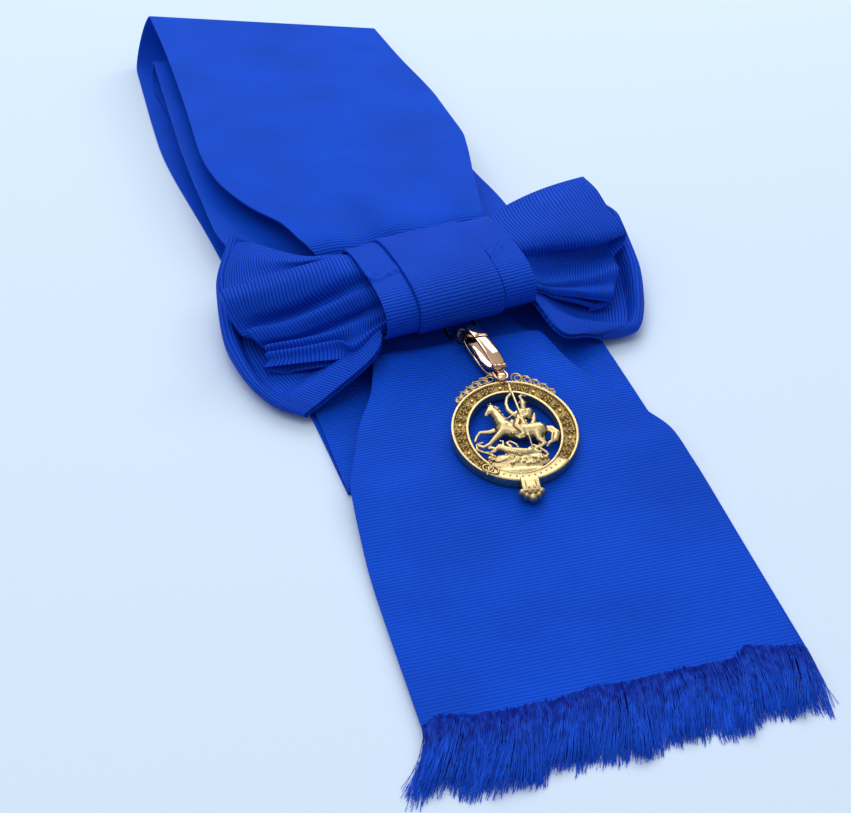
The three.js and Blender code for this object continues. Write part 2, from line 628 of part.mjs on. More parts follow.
const eyeTop = bailPoint(Math.PI / 2).addScaledVector(bailAxis, -(bailWall / 2 + 3 * fittingGap + eyeWire));
const eyeHalf = bailWidth * 0.95;
const eyeLow = level(5) + cloth / 2 + fittingGap + eyeWire;
place('hanger_eye', wire([
  [eyeTop.x - eyeHalf, knotCentre.y - 6, eyeLow],
  [eyeTop.x - eyeHalf, eyeTop.y + 6.5, eyeLow],
  [eyeTop.x - eyeHalf, eyeTop.y + 3.4, lerp(eyeLow, eyeTop.z, 0.5)],
  [eyeTop.x - 3.2, eyeTop.y + 0.1, eyeTop.z + 1.7],
  [eyeTop.x, eyeTop.y, eyeTop.z],
  [eyeTop.x + 3.1, eyeTop.y + 0.2, eyeTop.z - 1.9],
  [eyeTop.x + 4.8, eyeTop.y + 3.2, lerp(eyeLow, eyeTop.z, 0.25)],
  [eyeTop.x + eyeHalf, eyeTop.y + 6.4, eyeLow],
  [eyeTop.x + eyeHalf, knotCentre.y - 6, eyeLow],
], eyeWire, 6, 20), dark);

// badge, modelled lying in its own frame: x to the right, y up, z out of the face
const ringCentreY = 0.5 * unit;
// ring whose section is a list of insets from the outer oval and heights
function ovalRing(section, sides = 40) {
  const positions = [];
  const index = [];
  const count = section.length;
  for (let k = 0; k < sides; k += 1) {
    const angle = (2 * Math.PI * k) / sides;
    for (const { inset, z } of section) {
      positions.push((ovalWidth / 2 - inset) * Math.cos(angle));
      positions.push(ringCentreY + (ovalHeight / 2 - inset) * Math.sin(angle), z);
    }
    for (let j = 0; j < count; j += 1) {
      const a = k * count + j;
      const b = k * count + ((j + 1) % count);
      const c = ((k + 1) % sides) * count + ((j + 1) % count);
      const d = ((k + 1) % sides) * count + j;
      index.push(a, b, c, a, c, d);
    }
  }
  const geometry = new THREE.BufferGeometry();
  geometry.setAttribute('position', new THREE.Float32BufferAttribute(positions, 3));
  geometry.setIndex(index);
  return facedOut(geometry);
}
function plate(points, from, to) {
  const shape = new THREE.Shape(points.map(([x, y]) => new THREE.Vector2(x, y)));
  return new THREE.ExtrudeGeometry(shape, { depth: to - from, bevelEnabled: false }).translate(0, 0, from);
}
function ball(x, y, z, rx, ry, rz, lean = 0) {
  const sphere = new THREE.SphereGeometry(1, 8, 4);
  return sphere.scale(rx, ry, rz).rotateZ(THREE.MathUtils.degToRad(lean)).translate(x, y, z);
}
// a limb: tapering round rod between points with radii
function limb(points, sides = 5) {
  const parts = [];
  for (let k = 0; k < points.length - 1; k += 1) {
    const [a, b] = [points[k], points[k + 1]];
    const start = new THREE.Vector3(a[0], a[1], a[2]);
    const end = new THREE.Vector3(b[0], b[1], b[2]);
    const rod = new THREE.CylinderGeometry(b[3], a[3], start.distanceTo(end), sides);
    rod.applyQuaternion(new THREE.Quaternion().setFromUnitVectors(
      new THREE.Vector3(0, 1, 0), end.clone().sub(start).normalize()));
    const mid = start.add(end).multiplyScalar(0.5);
    parts.push(rod.translate(mid.x, mid.y, mid.z));
    if (k) parts.push(new THREE.SphereGeometry(a[3] * 1.08, 5, 3).translate(a[0], a[1], a[2]));
  }
  return parts;
}

const faceTop = badgeThick;
const floorTop = faceTop - rimRise;
const badgeParts = [ovalRing([
  { inset: 0, z: 0 },
  { inset: 0, z: faceTop },
  { inset: rimWidth, z: faceTop },
  { inset: rimWidth, z: floorTop },
  { inset: bandWidth - rimWidth, z: floorTop },
  { inset: bandWidth - rimWidth, z: faceTop },
  { inset: bandWidth, z: faceTop },
  { inset: bandWidth, z: 0 },
])];

// generic raised ornament on the band: small bars and beads in turn
const ornaments = 20;
const ornamentFrom = THREE.MathUtils.degToRad(-52);
const ornamentTo = THREE.MathUtils.degToRad(222);
for (let k = 0; k <= ornaments; k += 1) {
  const angle = lerp(ornamentFrom, ornamentTo, k / ornaments);
  const x = (ovalWidth / 2 - bandWidth / 2) * Math.cos(angle);
  const y = ringCentreY + (ovalHeight / 2 - bandWidth / 2) * Math.sin(angle);
  const mark = k % 2
    ? new THREE.BoxGeometry(0.75, bandWidth * 0.46, rimRise + 0.5)
    : new THREE.CylinderGeometry(0.85, 0.85, rimRise + 0.5, 6).rotateX(Math.PI / 2);
  mark.rotateZ(angle - Math.PI / 2);
  badgeParts.push(mark.translate(x, y, floorTop - 0.5 + (rimRise + 0.5) / 2 - 0.05));
}

// strap along the foot, hanging end with a lobed tip, buckle at the lower left
const figureParts = [];
const tabX = 1.4;
const faceAt = faceTop / unit;
figureParts.push(plate([
  [-7.2, -16.3], [-3, -17.6], [3, -17.9], [9, -16], [9.6, -17.2], [4.3, -19.6], [4.1, -22.2],
  [-1.3, -22.2], [-1.5, -19.9], [-7.6, -18.4],
], 0.8, faceAt + 0.15));
figureParts.push(new THREE.CylinderGeometry(1.15, 1.15, 1.9, 9)
  .rotateX(Math.PI / 2).translate(tabX - 2.6, -22.9, 1.95));
figureParts.push(new THREE.CylinderGeometry(1.15, 1.15, 1.9, 9)
  .rotateX(Math.PI / 2).translate(tabX + 2.7, -22.9, 1.95));
figureParts.push(new THREE.CylinderGeometry(1.5, 1.5, 1.9, 10)
  .rotateX(Math.PI / 2).translate(tabX, -24.6, 1.95));
figureParts.push(new THREE.CylinderGeometry(1.9, 1.9, 2.1, 10)
  .rotateX(Math.PI / 2).translate(tabX, -22.9, 1.95));
const buckle = new THREE.TorusGeometry(1.55, 0.5, 4, 8).scale(1.05, 0.85, 1);
figureParts.push(buckle.rotateZ(-0.7).translate(-8.4, -14.9, faceAt - 0.05));

// scroll cresting: pierced rings of wire on both sides of the lug
const scrolls = [
  { x: -4.1, y: 20.9, size: 1.5 }, { x: -6.9, y: 19.6, size: 1.45 }, { x: -9.4, y: 17.9, size: 1.3 },
  { x: -11.6, y: 16.1, size: 1.0 }, { x: 4.4, y: 21, size: 1.5 }, { x: 7.2, y: 19.6, size: 1.45 },
  { x: 9.6, y: 17.9, size: 1.25 }, { x: 11.6, y: 16.1, size: 1.0 },
];
for (const { x, y, size } of scrolls) {
  figureParts.push(new THREE.TorusGeometry(size, 0.42, 4, 8).translate(x, y, faceAt / 2 + 0.5));
}
figureParts.push(new THREE.TorusGeometry(lugRadius / unit, 0.45, 5, 12).rotateY(Math.PI / 2)
  .translate(0, lugHeight / unit, lugLift / unit));
figureParts.push(ball(0, 20.1, lugLift / unit - 0.4, 2, 0.7, 1));

// mound, beast, horse and rider
const mid = faceAt / 2 + 0.3;
figureParts.push(
  ball(-3.2, -13.1, mid - 0.3, 7.2, 3.4, 1.5, -4), ball(3.6, -12.8, mid - 0.3, 7, 3.5, 1.5, 6),
  ball(0.2, -14.6, mid - 0.5, 8, 2.6, 1.2), ball(-5.6, -10.2, mid, 2.6, 1.3, 1.3, 20),
  ball(5.8, -9.7, mid, 3, 1.5, 1.3, -15),
  ...limb([
    [-6, -8, mid, 0.8], [-3.2, -6.6, mid, 1.15], [0, -8.3, mid, 1.3],
    [3.2, -8, mid, 1.1], [5.2, -6.6, mid, 0.7],
  ]),
  ball(-6.4, -7.6, mid + 0.2, 1.3, 0.85, 0.8, 30),
  ball(2.4, -0.9, mid + 0.3, 6.2, 2.7, 1.7, -5), ball(7.8, -1.2, mid + 0.3, 2.9, 2.7, 1.7),
  ball(-2.8, 1.2, mid + 0.3, 2.7, 3.1, 1.7, 20),
  ...limb([[-2.6, 2.4, mid + 0.3, 1.9], [-3.9, 6, mid + 0.4, 1.35], [-5.2, 9.4, mid + 0.5, 0.95]]),
  ball(-6.1, 9.3, mid + 0.5, 1.15, 1.9, 0.9, -22), ball(-4.9, 11.5, mid + 0.5, 0.4, 0.9, 0.4, -15),
  ...limb([[-3.4, 1.4, mid + 0.2, 1.1], [-9, 1.4, mid + 0.2, 0.7], [-11.4, -2.1, mid, 0.55]]),
  ...limb([[-3.4, -1.4, mid + 0.2, 1.1], [-6.4, -4.4, mid + 0.3, 0.75], [-10.8, -5, mid, 0.6]]),
  ...limb([[7.4, -2.6, mid + 0.2, 1.5], [8.2, -5.4, mid + 0.1, 0.8], [5.4, -8.4, mid, 0.7]]),
  ...limb([[9.6, -1.8, mid, 1.1], [9.9, -5.2, mid, 0.7], [8.6, -9, mid, 0.6]]),
  ...limb([[9.6, 0.3, mid, 0.8], [12.2, -0.4, mid, 0.9], [14.4, -1.8, mid, 0.9]]),
);
figureParts.push(
  ...limb([[1.9, 1.6, mid + 0.6, 1.7], [2.6, 6.6, mid + 0.7, 1.75]]),
  ball(3.2, 7.4, mid + 0.7, 2.2, 1.9, 1.5), ball(4.2, 10.6, mid + 0.7, 1.25, 1.45, 1.2),
  ball(4.7, 12.9, mid + 0.5, 0.85, 1.5, 0.6, -8),
  ...limb([[1.9, 7.8, mid + 0.9, 0.85], [-0.2, 9.8, mid + 1, 0.75], [0.9, 14.4, mid + 1, 0.6]]),
  ...limb([[1.5, 17.3, mid + 1, 0.32], [4.3, -3.4, mid + 1.3, 0.32], [3.2, -7, mid + 0.9, 0.32]], 6),
  ...limb([[1.6, 1.4, mid + 1.1, 1.15], [0.8, -1.6, mid + 1.5, 0.8], [1.6, -4.2, mid + 1.3, 0.6]]),
  ball(0.6, -4.5, mid + 1.3, 1.2, 0.5, 0.6), ball(5.6, 5.4, mid, 2.2, 3, 0.7, 25),
);
figureParts.forEach((part) => badgeParts.push(part.scale(unit, unit, unit)));
const badge = unite(badgeParts.map((part) => part.applyMatrix4(badgeFrame)));
place('badge', fromSolid(badge), gold);

// the frame starts at the middle of the footprint, on the table
const box = new THREE.Box3();
group.children.forEach((mesh) => {
  mesh.geometry.computeBoundingBox();
  box.union(mesh.geometry.boundingBox);
});
const shift = box.getCenter(new THREE.Vector3());
group.children.forEach((mesh) => mesh.geometry.translate(-shift.x, -shift.y, -box.min.z));

export default group;
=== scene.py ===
# Sash of an order: corded silk riband laid in folds on a table, double bow, fringed ends,
# clip bail and cast oval badge. Shapes are drafted in millimetres and turned to metres at the end.
import json
import math

import bpy
import numpy as np
from mathutils import Matrix, Vector

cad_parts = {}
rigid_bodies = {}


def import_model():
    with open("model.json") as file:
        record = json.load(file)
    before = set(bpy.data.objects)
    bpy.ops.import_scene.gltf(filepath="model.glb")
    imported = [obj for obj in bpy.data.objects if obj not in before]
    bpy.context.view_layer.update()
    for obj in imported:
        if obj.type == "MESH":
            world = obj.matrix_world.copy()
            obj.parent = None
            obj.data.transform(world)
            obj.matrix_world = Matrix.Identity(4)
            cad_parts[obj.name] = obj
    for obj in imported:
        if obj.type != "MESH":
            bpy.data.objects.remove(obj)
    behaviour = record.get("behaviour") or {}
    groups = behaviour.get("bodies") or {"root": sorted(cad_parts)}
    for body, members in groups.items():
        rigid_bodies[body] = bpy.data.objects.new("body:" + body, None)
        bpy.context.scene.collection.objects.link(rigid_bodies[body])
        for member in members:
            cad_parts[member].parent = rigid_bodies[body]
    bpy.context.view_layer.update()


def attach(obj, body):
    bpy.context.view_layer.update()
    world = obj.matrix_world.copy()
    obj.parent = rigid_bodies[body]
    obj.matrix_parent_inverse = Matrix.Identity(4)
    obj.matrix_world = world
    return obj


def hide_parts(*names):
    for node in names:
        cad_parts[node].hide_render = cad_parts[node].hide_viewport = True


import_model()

MM = 0.001
# Drafting sizes are in mm, with y along the sash.
SHIFT = np.array([6.518, -0.464, 0.0])      # from the drafting frame to the part's frame
CLOTH = 0.7                                 # riband thickness
LAYER = 1.45                                # one ply and the air above it
FIRST = 0.55                                # middle of the lowest ply
WIDTH = 100.0                               # riband width
REACH = 201.0                               # knot to far fold
LOOP_HIGH = 24.0                            # top of the folded loop
TAIL_START = 18.0                           # where the tails begin under the band
TAIL_LONG = 132.0                           # the tails' length that the shares in their tables are of
TAIL_CREST = 4.0                            # rise of the front tail at its first fold
CREST = 27.06 / TAIL_LONG                   # share of the tail at that fold
HEM = 1.217                                 # share of the tail at its hem
BOW_SPAN = 75.0                             # width that the shares in the bow's tables are of
BOW_HIGH = 25.0                             # height that they are of
KNOT = np.array([-4.0, -19.5, 20.0])        # middle of the band
KNOT_TURN = math.radians(8.5)               # the bow lies askew by this
KNOT_LONG = 51.0                            # the band along the bow
KNOT_DEEP = 43.0                            # the band across the bow
KNOT_TALL = 19.2
WAIST = 9.0                                 # how far from the middle the loops end inside the band
CLOTH_CREASE = math.radians(50)             # edges sharper than these look sharp
METAL_CREASE = math.radians(40)
# Three ribs bunch up across each side strip: share of the band's length, mm from its middle
PINCH = [(-0.5, -5.3), (-0.28, -2.5), (0.28, -7.4), (0.5, -0.3)]

ALONG_BOW = np.array([math.cos(KNOT_TURN), math.sin(KNOT_TURN), 0.0])
ACROSS_BOW = np.array([-math.sin(KNOT_TURN), math.cos(KNOT_TURN), 0.0])

rng = np.random.default_rng(11)
scene = bpy.context.scene


# Camera
CAMERA_AT = (-0.093482, -0.373464, 0.274)   # metres
CAMERA_TURN = math.radians(14.6)            # to the right of the sash's own direction
CAMERA_PITCH = math.radians(40.2)           # downwards
CAMERA_LENS = 57.83                         # mm, on a sensor of the width below
CAMERA_SENSOR = 36


def make_camera():
    """Camera at the photo's viewing angle."""
    data = bpy.data.cameras.new("camera")
    camera = bpy.data.objects.new("camera", data)
    scene.collection.objects.link(camera)
    flat = math.cos(CAMERA_PITCH)
    forward = Vector((math.sin(CAMERA_TURN) * flat, math.cos(CAMERA_TURN) * flat, -math.sin(CAMERA_PITCH)))
    camera.location = CAMERA_AT
    camera.rotation_mode = "QUATERNION"
    camera.rotation_quaternion = forward.to_track_quat("-Z", "Y")
    data.lens = CAMERA_LENS
    data.sensor_width = CAMERA_SENSOR
    data.clip_start = 0.01
    data.clip_end = 20
    scene.camera = camera


make_camera()


# Materials
def colour(hex_value):
    """Linear colour of an sRGB hex value."""
    channels = [int(hex_value[i:i + 2], 16) / 255 for i in (1, 3, 5)]
    return tuple(c / 12.92 if c <= 0.04045 else ((c + 0.055) / 1.055) ** 2.4 for c in channels) + (1.0,)


def link(owner, source, socket):
    owner.node_tree.links.new(source, socket)


def add_node(owner, kind, settings=None, **links):
    """A node with its settings, and links by socket name or, as i0, i1 and so on, by number."""
    node = owner.node_tree.nodes.new("ShaderNode" + kind)
    for key, value in (settings or {}).items():
        if isinstance(key, str) and hasattr(node, key):
            setattr(node, key, value)
        else:
            node.inputs[key].default_value = value
    for key, source in links.items():
        by_number = key[0] == "i" and key[1:].isdigit()
        link(owner, source, node.inputs[int(key[1:]) if by_number else key])
    return node


def new_material(name, base, roughness, metallic=0.0, **more):
    material = bpy.data.materials.new(name)
    material.use_nodes = True
    shader = material.node_tree.nodes["Principled BSDF"]
    shader.inputs["Base Color"].default_value = colour(base)
    shader.inputs["Roughness"].default_value = roughness
    shader.inputs["Metallic"].default_value = metallic
    for key, value in more.items():
        shader.inputs[key.replace("_", " ")].default_value = value
    return material, shader


# Grosgrain: silk warp over thick weft cords, so it shows straight ribs across the riband,
# coloured with a painted sheen on their crowns and painted shade, deep blue, between them. Cords are 1.1 mm
# apart.
def corded_silk(name, lit="#0D52D8", groove_shade="#072E9A", cord=1.1, depth=0.09):
    material, shader = new_material(name, lit, 0.6, Sheen_Weight=0.03, Sheen_Roughness=0.4,
                                    Sheen_Tint=colour("#3F6CFF"), Specular_IOR_Level=0.05)
    # the cloth's own UV map is in centimetres: x across the riband, y along it
    uv = add_node(material, "TexCoord").outputs["UV"]
    split = add_node(material, "SeparateXYZ", i0=uv)
    wander = add_node(material, "TexNoise", {"Scale": 1.7, "Detail": 2.0}, Vector=uv)
    drift = add_node(material, "Math", {"operation": "MULTIPLY_ADD", 1: 0.05, 2: 0},
                     i0=wander.outputs["Fac"])
    place = add_node(material, "Math", {"operation": "ADD"}, i0=split.outputs["Y"], i1=drift.outputs[0])
    # half a wave to each cord
    phase = add_node(material, "Math", {"operation": "MULTIPLY", 1: 10 * math.pi / cord}, i0=place.outputs[0])
    wave = add_node(material, "Math", {"operation": "SINE"}, i0=phase.outputs[0])
    rib = add_node(material, "Math", {"operation": "ABSOLUTE"}, i0=wave.outputs[0])
    crown = add_node(material, "Math", {"operation": "POWER", 1: 0.6}, i0=rib.outputs[0])
    thread = add_node(material, "TexNoise", {"Scale": 28.0, "Detail": 2.0, "Roughness": 0.6}, Vector=uv)
    cloud = add_node(material, "TexNoise", {"Scale": 0.35, "Detail": 3.0}, Vector=uv)
    # how clearly the ribs show at each place, both in relief and in their painted crown sheen and groove
    # shade
    ribs = add_node(material, "Attribute", {"attribute_name": "ribs"}).outputs["Fac"]
    seen = add_node(material, "Mix", {"data_type": "FLOAT", 2: 0.72}, i0=ribs, i3=crown.outputs[0])
    shade = add_node(material, "Math", {"operation": "MULTIPLY_ADD", 1: 0.22, 2: -0.08},
                     i0=thread.outputs["Fac"])
    tone = add_node(material, "Math", {"operation": "ADD", "use_clamp": True},
                    i0=seen.outputs[0], i1=shade.outputs[0])
    # painted rib shading: the lit colour as painted sheen on the crowns, the darker colour as painted shade
    # in the grooves
    weave = add_node(material, "Mix", {"data_type": "RGBA", 6: colour(groove_shade), 7: colour(lit)},
                     i0=tone.outputs[0])
    tint = add_node(material, "MapRange", {1: 0.3, 2: 0.7, 3: 0.88, 4: 1.1}, i0=cloud.outputs["Fac"])
    final = add_node(material, "Mix", {"data_type": "RGBA", "blend_type": "MULTIPLY", 0: 1.0},
                     i6=weave.outputs[2], i7=tint.outputs[0])
    link(material, final.outputs[2], shader.inputs["Base Color"])
    height = add_node(material, "Math", {"operation": "MULTIPLY_ADD", 1: 0.12, 2: 0},
                      i0=thread.outputs["Fac"])
    raised = add_node(material, "Math", {"operation": "MULTIPLY"}, i0=crown.outputs[0], i1=ribs)
    total = add_node(material, "Math", {"operation": "ADD"}, i0=raised.outputs[0], i1=height.outputs[0])
    bump = add_node(material, "Bump", {"Strength": 1.0, "Distance": depth * MM}, Height=total.outputs[0])
    link(material, bump.outputs[0], shader.inputs["Normal"])
    return material


SILK = corded_silk("corded_silk_riband")
# the bow's silk: darker painted shade in its rib grooves and a deeper rib relief
SILK_BOW = corded_silk("corded_silk_bow", lit="#1550D6", groove_shade="#09248C", depth=0.26)


# Loose silk yarn of the fringe: fine and glossy, with painted shade at the roots, where the threads are
# dense, that lightens to painted light towards the tips.
def fringe_silk():
    material, shader = new_material("loose_silk_yarn", "#1748CC", 0.55, Specular_IOR_Level=0.12)
    uv = add_node(material, "TexCoord").outputs["UV"]
    split = add_node(material, "SeparateXYZ", i0=uv)
    tuft = add_node(material, "TexNoise", {"Scale": 7.0, "Detail": 3.0}, Vector=uv)
    streak = add_node(material, "MapRange", {1: 0.3, 2: 0.72, 3: -0.35, 4: 0.55}, i0=tuft.outputs["Fac"])
    tone = add_node(material, "Math", {"operation": "ADD", "use_clamp": True},
                    i0=split.outputs["Y"], i1=streak.outputs[0])
    # painted shade at the thread roots, painted light towards the tips, broken by random streaks
    mix = add_node(material, "Mix", {"data_type": "RGBA", 6: colour("#08249A"), 7: colour("#1E64F0")},
                   i0=tone.outputs[0])
    link(material, mix.outputs[2], shader.inputs["Base Color"])
    return material


YARN = fringe_silk()


# Metals: the tone of the alloy, with a grain in its gloss and surface. Object coordinates are in metres.
def metal(name, tone, smooth, rough, grain_mm, relief_mm):
    material, shader = new_material(name, tone, rough, metallic=1.0)
    where = add_node(material, "TexCoord").outputs["Object"]
    grain = add_node(material, "TexNoise", {"Scale": 1 / (grain_mm * MM), "Detail": 3.0}, Vector=where)
    gloss = add_node(material, "MapRange", {1: 0.3, 2: 0.75, 3: smooth, 4: rough}, i0=grain.outputs["Fac"])
    link(material, gloss.outputs[0], shader.inputs["Roughness"])
    bump = add_node(material, "Bump", {"Strength": 0.35, "Distance": relief_mm * MM},
                    Height=grain.outputs["Fac"])
    link(material, bump.outputs[0], shader.inputs["Normal"])
    return material


# Cast gold: pale yellow, satin from the mould, polished where it is touched.
GOLD = metal("cast_gold_alloy", "#CFB987", 0.24, 0.44, 1.1, 0.12)
# The sunk field between the rims: the same gold, unpolished and darkened by age.
FIELD_GOLD = metal("tarnished_cast_gold", "#9A804A", 0.36, 0.56, 0.8, 0.1)
# Rose gold of the bail and rings: turned and polished bright, with faint wear in its gloss.
ROSE = metal("polished_rose_gold", "#EBC09A", 0.04, 0.1, 0.9, 0.004)
# Wire metal coloured near black: painted shade for the deep shade that it hangs in under the band. Its gloss
# is rubbed smoother where it moves.
DARK = metal("shade_darkened_metal", "#3A3B44", 0.1, 0.26, 0.6, 0.01)


# Cloth
def deselect():
    for thing in bpy.context.view_layer.objects:
        thing.select_set(False)


def choose(piece):
    """Selects one piece alone and makes it the active one."""
    deselect()
    piece.select_set(True)
    bpy.context.view_layer.objects.active = piece


def blank(name, data=None):
    """A new piece, empty unless its mesh or curve is given, that is chosen for the next step."""
    piece = bpy.data.objects.new(name, data or bpy.data.meshes.new(name))
    scene.collection.objects.link(piece)
    choose(piece)
    return piece


def edit(action):
    bpy.ops.object.mode_set(mode="EDIT")
    action()
    bpy.ops.object.mode_set(mode="OBJECT")


def face_outwards():
    bpy.ops.mesh.select_all(action="SELECT")
    bpy.ops.mesh.normals_make_consistent(inside=False)


def tie(piece, body, node):
    """Ties a finished piece to a body and hides the solid that it stands for."""
    deselect()
    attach(piece, body)
    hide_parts(node)


def woven(name, mesh, uv, material):
    """A piece of cloth or yarn from its mesh and its corners' places in the weave."""
    layer = mesh.uv_layers.new(name="weave")
    layer.data.foreach_set("uv", uv.ravel())
    mesh.polygons.foreach_set("use_smooth", np.ones(len(mesh.polygons), bool))
    mesh.materials.append(material)
    mesh.update()
    piece = blank(name, mesh)
    edit(face_outwards)
    return piece


def corners(mesh):
    """The point at each corner of a mesh's faces."""
    index = np.empty(len(mesh.loops), int)
    mesh.loops.foreach_get("vertex_index", index)
    return index


def eased(table, at):
    """Values of a table at shares 0 to 1, smooth and without overshoot."""
    table = np.asarray(table, float)
    last = len(table) - 1
    rise = np.diff(table, axis=0)
    slope = np.empty_like(table)
    slope[0], slope[-1] = rise[0], rise[-1]
    a, b = rise[:-1], rise[1:]
    slope[1:-1] = np.where(a * b > 0, 2 * a * b / np.where(a + b == 0, 1, a + b), 0)
    return hermite(table, slope, at, last)


def curved(table, at):
    """Values of a table at shares 0 to 1 on a rounded curve through its rows."""
    table = np.asarray(table, float)
    slope = np.gradient(table, axis=0)
    return hermite(table, slope, at, len(table) - 1)


def hermite(table, slope, at, last):
    spot = np.clip(np.asarray(at, float), 0, 1) * last
    i = np.minimum(spot.astype(int), last - 1)
    f = (spot - i).reshape((-1,) + (1,) * (table.ndim - 1))
    p, q, m, n = table[i], table[i + 1], slope[i], slope[i + 1]
    return (p * (2 * f**3 - 3 * f**2 + 1) + m * (f**3 - 2 * f**2 + f) + q * (3 * f**2 - 2 * f**3)
            + n * (f**3 - f**2))


def lengths(net, axis):
    """Length of cloth from the first row or column to each one, in cm."""
    step = np.linalg.norm(np.diff(net, axis=axis), axis=2).mean(1 - axis)
    return np.concatenate([[0], np.cumsum(step)]) / 10


def riband(name, net, material, node, around=False, ribs=1.0):
    """Closed sheet of cloth round a net of middle points in mm: rows run along the riband. With around,
    the last row joins the first. ribs says how strongly the cords show, both in relief and in their painted
    crown sheen and groove shade."""
    net = np.asarray(net, float)
    rows, cols = net.shape[:2]
    d_along = np.roll(net, -1, 0) - np.roll(net, 1, 0) if around else np.gradient(net, axis=0)
    d_across = np.gradient(net, axis=1)
    normal = np.cross(d_along, d_across)
    normal /= np.maximum(np.linalg.norm(normal, axis=2, keepdims=True), 1e-9)
    top = net + normal * CLOTH / 2
    bottom = net - normal * CLOTH / 2
    points = (np.concatenate([top.reshape(-1, 3), bottom.reshape(-1, 3)]) + SHIFT) * MM
    size = rows * cols
    at = np.arange(size).reshape(rows, cols)
    low, high = (at, np.roll(at, -1, 0)) if around else (at[:-1], at[1:])
    a, b, c, d = low[:, :-1].ravel(), high[:, :-1].ravel(), high[:, 1:].ravel(), low[:, 1:].ravel()
    faces = [np.stack([a, b, c, d], 1), np.stack([a + size, d + size, c + size, b + size], 1)]
    # narrow faces along the cloth's edges, each between two rows or columns of points
    borders = [(low[:, 0], high[:, 0], False), (low[:, -1], high[:, -1], True)]
    if not around:
        borders += [(at[0, :-1], at[0, 1:], True), (at[-1, :-1], at[-1, 1:], False)]
    for e, f, turned in borders:
        faces.append(np.stack([e, f, f + size, e + size] if turned else [e, e + size, f + size, f], 1))
    along, across = lengths(net, 0), lengths(net, 1)
    mesh = bpy.data.meshes.new(name)
    mesh.from_pydata(points.tolist(), [], np.concatenate(faces).tolist())
    index = corners(mesh)
    row, column = (index % size) // cols, index % cols
    uv = np.stack([across[column], along[row]], 1)
    if around:
        # a face that joins the last row to the first has its far side one step further on
        face_rows = row.reshape(-1, 4)
        joins = (face_rows.max(1) == rows - 1) & (face_rows.min(1) == 0)
        last_step = np.linalg.norm(net[0] - net[-1], axis=1).mean() / 10
        uv[(joins[:, None] & (face_rows == 0)).ravel(), 1] = along[-1] + last_step
    strength = mesh.attributes.new("ribs", "FLOAT", "POINT")
    strength.data.foreach_set("value", np.tile(np.broadcast_to(ribs, (rows, cols)).ravel(), 2))
    piece = woven(name, mesh, uv, material)
    bpy.ops.object.shade_smooth_by_angle(angle=CLOTH_CREASE)
    tie(piece, "sash", node)
    return piece


def level(ply):
    """Height of a ply's middle when it lies flat, the lowest being 0."""
    return FIRST + ply * LAYER


# Columns of a ply row: along, skew, left, right, step, upLeft, upRight, pleat
def ply(rows, resting, count):
    t = eased(rows, np.linspace(0, 1, count))
    base = level(resting) + t[:, 4] * LAYER

    def edge(across, along, up):
        y = along * np.where(along < 0, TAIL_LONG, REACH)
        return np.stack([across * WIDTH, y, base + up * (LOOP_HIGH - base)], 1)

    return edge(t[:, 2], t[:, 0], t[:, 5]), edge(t[:, 3], t[:, 0] + t[:, 1], t[:, 6]), t[:, 7]


def turn(start, end, bulge, steps):
    """The fold that joins the end of one ply to the start of the next, bulging out along the sash."""
    angle = np.linspace(0, math.pi, steps + 1)[1:-1, None]
    share = (1 - np.cos(angle)) / 2
    sides = []
    for side in (0, 1):
        p, q = start[side][-1], end[side][0]
        line = p + (q - p) * share
        half = abs(p[2] - q[2]) / 2
        line[:, 1] += np.sign(bulge) * min(abs(bulge), half) * np.sin(angle[:, 0])
        sides.append(line)
    return sides[0], sides[1], np.zeros(len(angle))


def strip(parts, columns, waves):
    """The net of a strip from its parts, each a left edge, a right edge and a depth of pleat."""
    left = np.concatenate([p[0] for p in parts])
    right = np.concatenate([p[1] for p in parts])
    pleat = np.concatenate([p[2] for p in parts])
    v = np.linspace(0, 1, columns + 1)
    net = left[:, None] + (right - left)[:, None] * v[None, :, None]
    net[..., 2] += pleat[:, None] * (np.sin(v * math.pi * 2 * waves) * np.sin(math.pi * v))[None]
    return net


TOP_PLY = [
    (-0.1, 0, -0.24, 0.12, 2, 0, 0, 0), (0.002, 0, -0.31, 0.165, 2, 0.02, 0.02, 0),
    (0.03, 0, -0.36, 0.187, 2, 0.16, 0.16, 0.3), (0.048, 0, -0.395, 0.2, 2, 0.52, 0.62, 0.9),
    (0.075, 0, -0.425, 0.213, 2, 0.62, 0.74, 1.1), (0.135, 0, -0.466, 0.235, 1.5, 0.62, 0.72, 0.9),
    (0.21, 0, -0.566, 0.26, 1, 0.64, 0.7, 0.6), (0.31, 0, -0.652, 0.295, 0.5, 0.7, 0.68, 0.3),
    (0.4, 0, -0.683, 0.317, 0, 0.78, 0.56, 0), (0.56, 0, -0.692, 0.315, 0, 0.84, 0.38, 0),
    (0.78, 0, -0.714, 0.272, 0, 0.94, 0.2, 0), (0.95, 0.03, -0.742, 0.246, 0, 1, 0, 0),
]
BOTTOM_PLY = [
    (0.95, 0.03, -0.832, 0.17, 0, 0, 0, 0), (0.62, 0.02, -0.811, 0.185, 0, 0, 0, 0),
    (0.19, 0, -0.687, 0.31, 0, 0, 0, 0), (-0.411, 0, -0.539, 0.45, 0, 0, 0, 0),
    (-0.693, 0, -0.5, 0.47, 0, 0, 0, 0),
]
THIRD_PLY = [
    (-0.693, 0, -0.5, 0.47, 0, 0, 0, 0), (-0.343, 0, -0.53, 0.452, 0, 0, 0, 0),
    (0.2, 0, -0.58, 0.4, 0, 0, 0, 0), (0.36, 0, -0.636, 0.344, 0, 0, 0, 0),
    (0.62, 0, -0.72, 0.27, 0, 0, 0, 0), (0.84, 0.035, -0.78, 0.205, 0, 0, 0, 0),
]
